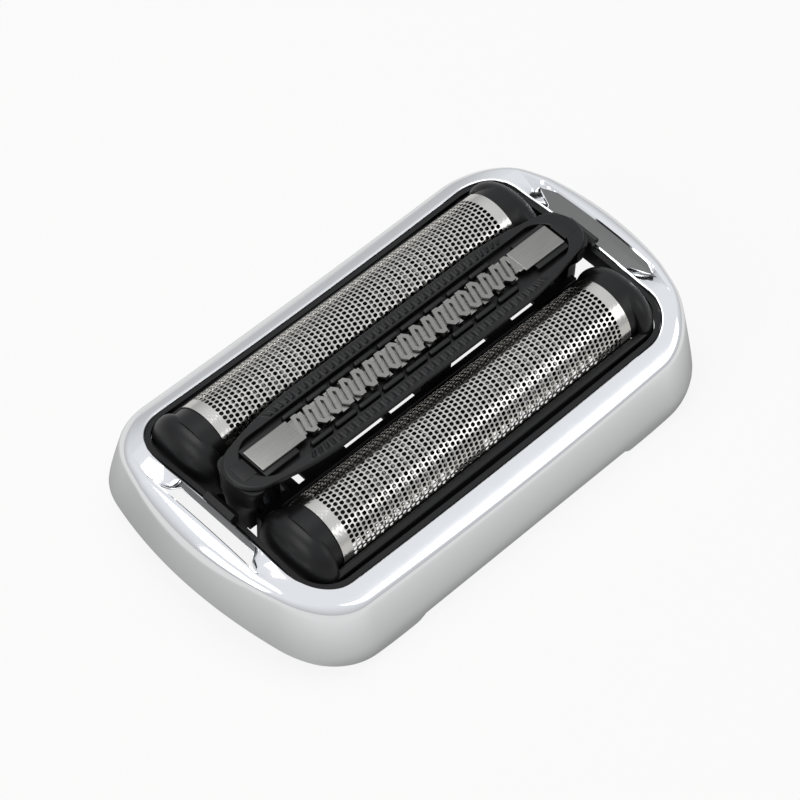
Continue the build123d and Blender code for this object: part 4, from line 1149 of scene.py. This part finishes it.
# place and edge in metres, power in watts
LAMPS = {"overhead_softbox": ((-0.05, 0.12, 0.45), 0.3, 0.8), "left_softbox": ((-0.45, 0.05, 0.25), 0.25, 0.5),
         "right_softbox": ((0.3, -0.35, 0.3), 0.25, 0.25)}


def soft_lamp(name, place, size, power, target=(0.0, 0.0, 0.008)):
    """Square area lamp at a place in metres, aimed at the object."""
    lamp = bpy.data.lights.new(name, "AREA")
    lamp.size = size
    lamp.energy = power
    obj = bpy.data.objects.new(name, lamp)
    obj.location = place
    obj.rotation_euler = (Vector(target) - Vector(place)).to_track_quat("-Z", "Y").to_euler()
    bpy.context.scene.collection.objects.link(obj)
    return obj


def seen_directly(tree):
    """Factor that is 1 for camera, glossy and transmission rays."""
    path = add_node(tree, "ShaderNodeLightPath")
    first = add_node(tree, "ShaderNodeMath", {"operation": "MAXIMUM"})
    tree.links.new(path.outputs["Is Camera Ray"], first.inputs[0])
    tree.links.new(path.outputs["Is Glossy Ray"], first.inputs[1])
    second = add_node(tree, "ShaderNodeMath", {"operation": "MAXIMUM"})
    tree.links.new(first.outputs["Value"], second.inputs[0])
    tree.links.new(path.outputs["Is Transmission Ray"], second.inputs[1])
    return second.outputs["Value"]


# floor, sizes in metres, and the painted shadow that the plating mirrors of it: the card's glow dims towards
# the object's foot
FLOOR_HALF, FLOOR_GAP = 1.5, 0.00002
PAINTED_SHADE_BOX = (0.022, 0.009, 0.0)
PAINTED_SHADE_RAMP = {"From Min": 0.009, "From Max": 0.022, "To Min": 0.26, "To Max": 0.82}


def white_floor():
    """Pale card under the object: mostly its own white where it is seen, so that a soft shadow stays, with a
    painted shadow that dims its glow to mirrored rays towards the object's foot.
    """
    corners = [(x * FLOOR_HALF, y * FLOOR_HALF, 0) for x, y in ((-1, -1), (1, -1), (1, 1), (-1, 1))]
    mesh = bpy.data.meshes.new("studio_floor")
    mesh.from_pydata(corners, [], [(0, 1, 2, 3)])
    mesh.transform(Matrix.Translation((0, 0, -FLOOR_GAP)))
    floor = bpy.data.objects.new("studio_floor", mesh)
    bpy.context.scene.collection.objects.link(floor)
    material = bpy.data.materials.new("matt_white_card")
    material.use_nodes = True
    tree = material.node_tree
    tree.nodes.clear()
    card = add_node(tree, "ShaderNodeBsdfDiffuse", {"Color": linear("#E9E8E5")})
    path = add_node(tree, "ShaderNodeLightPath")
    place = add_node(tree, "ShaderNodeTexCoord")
    side = add_node(tree, "ShaderNodeVectorMath", {"operation": "ABSOLUTE"}, {0: place.outputs["Object"]})
    past = add_node(tree, "ShaderNodeVectorMath", {"operation": "SUBTRACT"}, {0: side.outputs["Vector"]})
    past.inputs[1].default_value = PAINTED_SHADE_BOX
    past = add_node(tree, "ShaderNodeVectorMath", {"operation": "MAXIMUM"}, {0: past.outputs["Vector"]})
    away = add_node(tree, "ShaderNodeVectorMath", {"operation": "LENGTH"}, {0: past.outputs["Vector"]})
    # painted shadow: to mirrored rays the card's glow fades from 0.82 down to 0.26 towards the object's foot
    mirrored_painted_shade = add_node(tree, "ShaderNodeMapRange", PAINTED_SHADE_RAMP, {"Value": away.outputs["Value"]})
    glow = add_node(tree, "ShaderNodeMath", {"operation": "MAXIMUM"}, {0: mirrored_painted_shade.outputs["Result"]})
    tree.links.new(path.outputs["Is Camera Ray"], glow.inputs[1])
    white = add_node(tree, "ShaderNodeEmission", {"Color": linear("#FFFFFF")},
                     {"Strength": glow.outputs["Value"]})
    share = add_node(tree, "ShaderNodeMapRange", {"To Min": 0.7, "To Max": 0.88},
                     {"Value": path.outputs["Is Camera Ray"]})
    share = add_node(tree, "ShaderNodeMath", {"operation": "MULTIPLY"}, {0: share.outputs["Result"]})
    tree.links.new(seen_directly(tree), share.inputs[1])
    mix = add_node(tree, "ShaderNodeMixShader", links={"Fac": share.outputs["Value"]})
    tree.links.new(card.outputs["BSDF"], mix.inputs[1])
    tree.links.new(white.outputs["Emission"], mix.inputs[2])
    add_node(tree, "ShaderNodeOutputMaterial", links={"Surface": mix.outputs["Shader"]})
    mesh.materials.append(material)


def studio_world():
    """White surround: a strength of 1 where it is seen or mirrored, less where it only lights the object."""
    world = bpy.data.worlds.new("studio_tent")
    world.use_nodes = True
    tree = world.node_tree
    tree.nodes.clear()
    way = add_node(tree, "ShaderNodeTexCoord")
    height = add_node(tree, "ShaderNodeSeparateXYZ", links={"Vector": way.outputs["Generated"]})
    tent = add_node(tree, "ShaderNodeMapRange", {"From Max": 0.7, "To Min": 0.55, "To Max": 0.9},
                    {"Value": height.outputs["Z"]})
    path = add_node(tree, "ShaderNodeLightPath")
    level = add_node(tree, "ShaderNodeMath", {"operation": "MAXIMUM"}, {0: tent.outputs["Result"]})
    tree.links.new(path.outputs["Is Camera Ray"], level.inputs[1])
    seen = add_node(tree, "ShaderNodeBackground", {"Color": linear("#F6F8FC")},
                    {"Strength": level.outputs["Value"]})
    fill = add_node(tree, "ShaderNodeBackground", {"Color": linear("#F5F7FA"), "Strength": 0.4})
    mix = add_node(tree, "ShaderNodeMixShader", links={"Fac": seen_directly(tree)})
    tree.links.new(fill.outputs["Background"], mix.inputs[1])
    tree.links.new(seen.outputs["Background"], mix.inputs[2])
    add_node(tree, "ShaderNodeOutputWorld", links={"Surface": mix.outputs["Shader"]})
    bpy.context.scene.world = world


class SHAVER_OT_stage(bpy.types.Operator):
    """Sets the camera, the soft lamps, the white surround and the floor."""

    bl_idname = "shaver.stage"
    bl_label = "Stage"

    def execute(self, context):
        data = bpy.data.cameras.new("photo_camera")
        data.lens = CAMERA_LENS
        data.sensor_width = CAMERA_SENSOR
        data.clip_start = 0.01
        camera = bpy.data.objects.new("photo_camera", data)
        context.scene.collection.objects.link(camera)
        camera.matrix_world = camera_matrix()
        context.scene.camera = camera
        context.scene.view_settings.view_transform = "Standard"
        studio_world()
        white_floor()
        for name, lamp in LAMPS.items():
            soft_lamp(name, *lamp)
        return {"FINISHED"}


class SHAVER_PT_panel(bpy.types.Panel):
    """Lists the steps and their values in the sidebar."""

    bl_idname = "SHAVER_PT_panel"
    bl_label = "Foil shaver head"
    bl_space_type = "VIEW_3D"
    bl_region_type = "UI"
    bl_category = "Shaver"

    def draw(self, context):
        for group in (context.scene.shaver_sizes, context.scene.shaver_colours):
            for key in group.bl_rna.properties.keys():
                if key not in ("rna_type", "name"):
                    self.layout.prop(group, key)
        for step in STEPS:
            self.layout.operator(step.bl_idname)


STEPS = (SHAVER_OT_finishes, SHAVER_OT_ring, SHAVER_OT_foils, SHAVER_OT_cutters, SHAVER_OT_pods,
         SHAVER_OT_springs, SHAVER_OT_web, SHAVER_OT_trimmer, SHAVER_OT_stage)
CLASSES = (HeadSizes, HeadColours) + STEPS + (SHAVER_PT_panel,)


def register():
    """Registers the classes and hangs the two groups of values on the scene."""
    for one in CLASSES:
        bpy.utils.register_class(one)
    bpy.types.Scene.shaver_sizes = bpy.props.PointerProperty(type=HeadSizes)
    bpy.types.Scene.shaver_colours = bpy.props.PointerProperty(type=HeadColours)


def unregister():
    """Takes the groups and the classes away again."""
    del bpy.types.Scene.shaver_colours
    del bpy.types.Scene.shaver_sizes
    for one in reversed(CLASSES):
        bpy.utils.unregister_class(one)


def main():
    """Runs every step in order."""
    register()
    for step in STEPS:
        group, name = step.bl_idname.split(".")
        getattr(getattr(bpy.ops, group), name)()


if __name__ == "__main__":
    main()
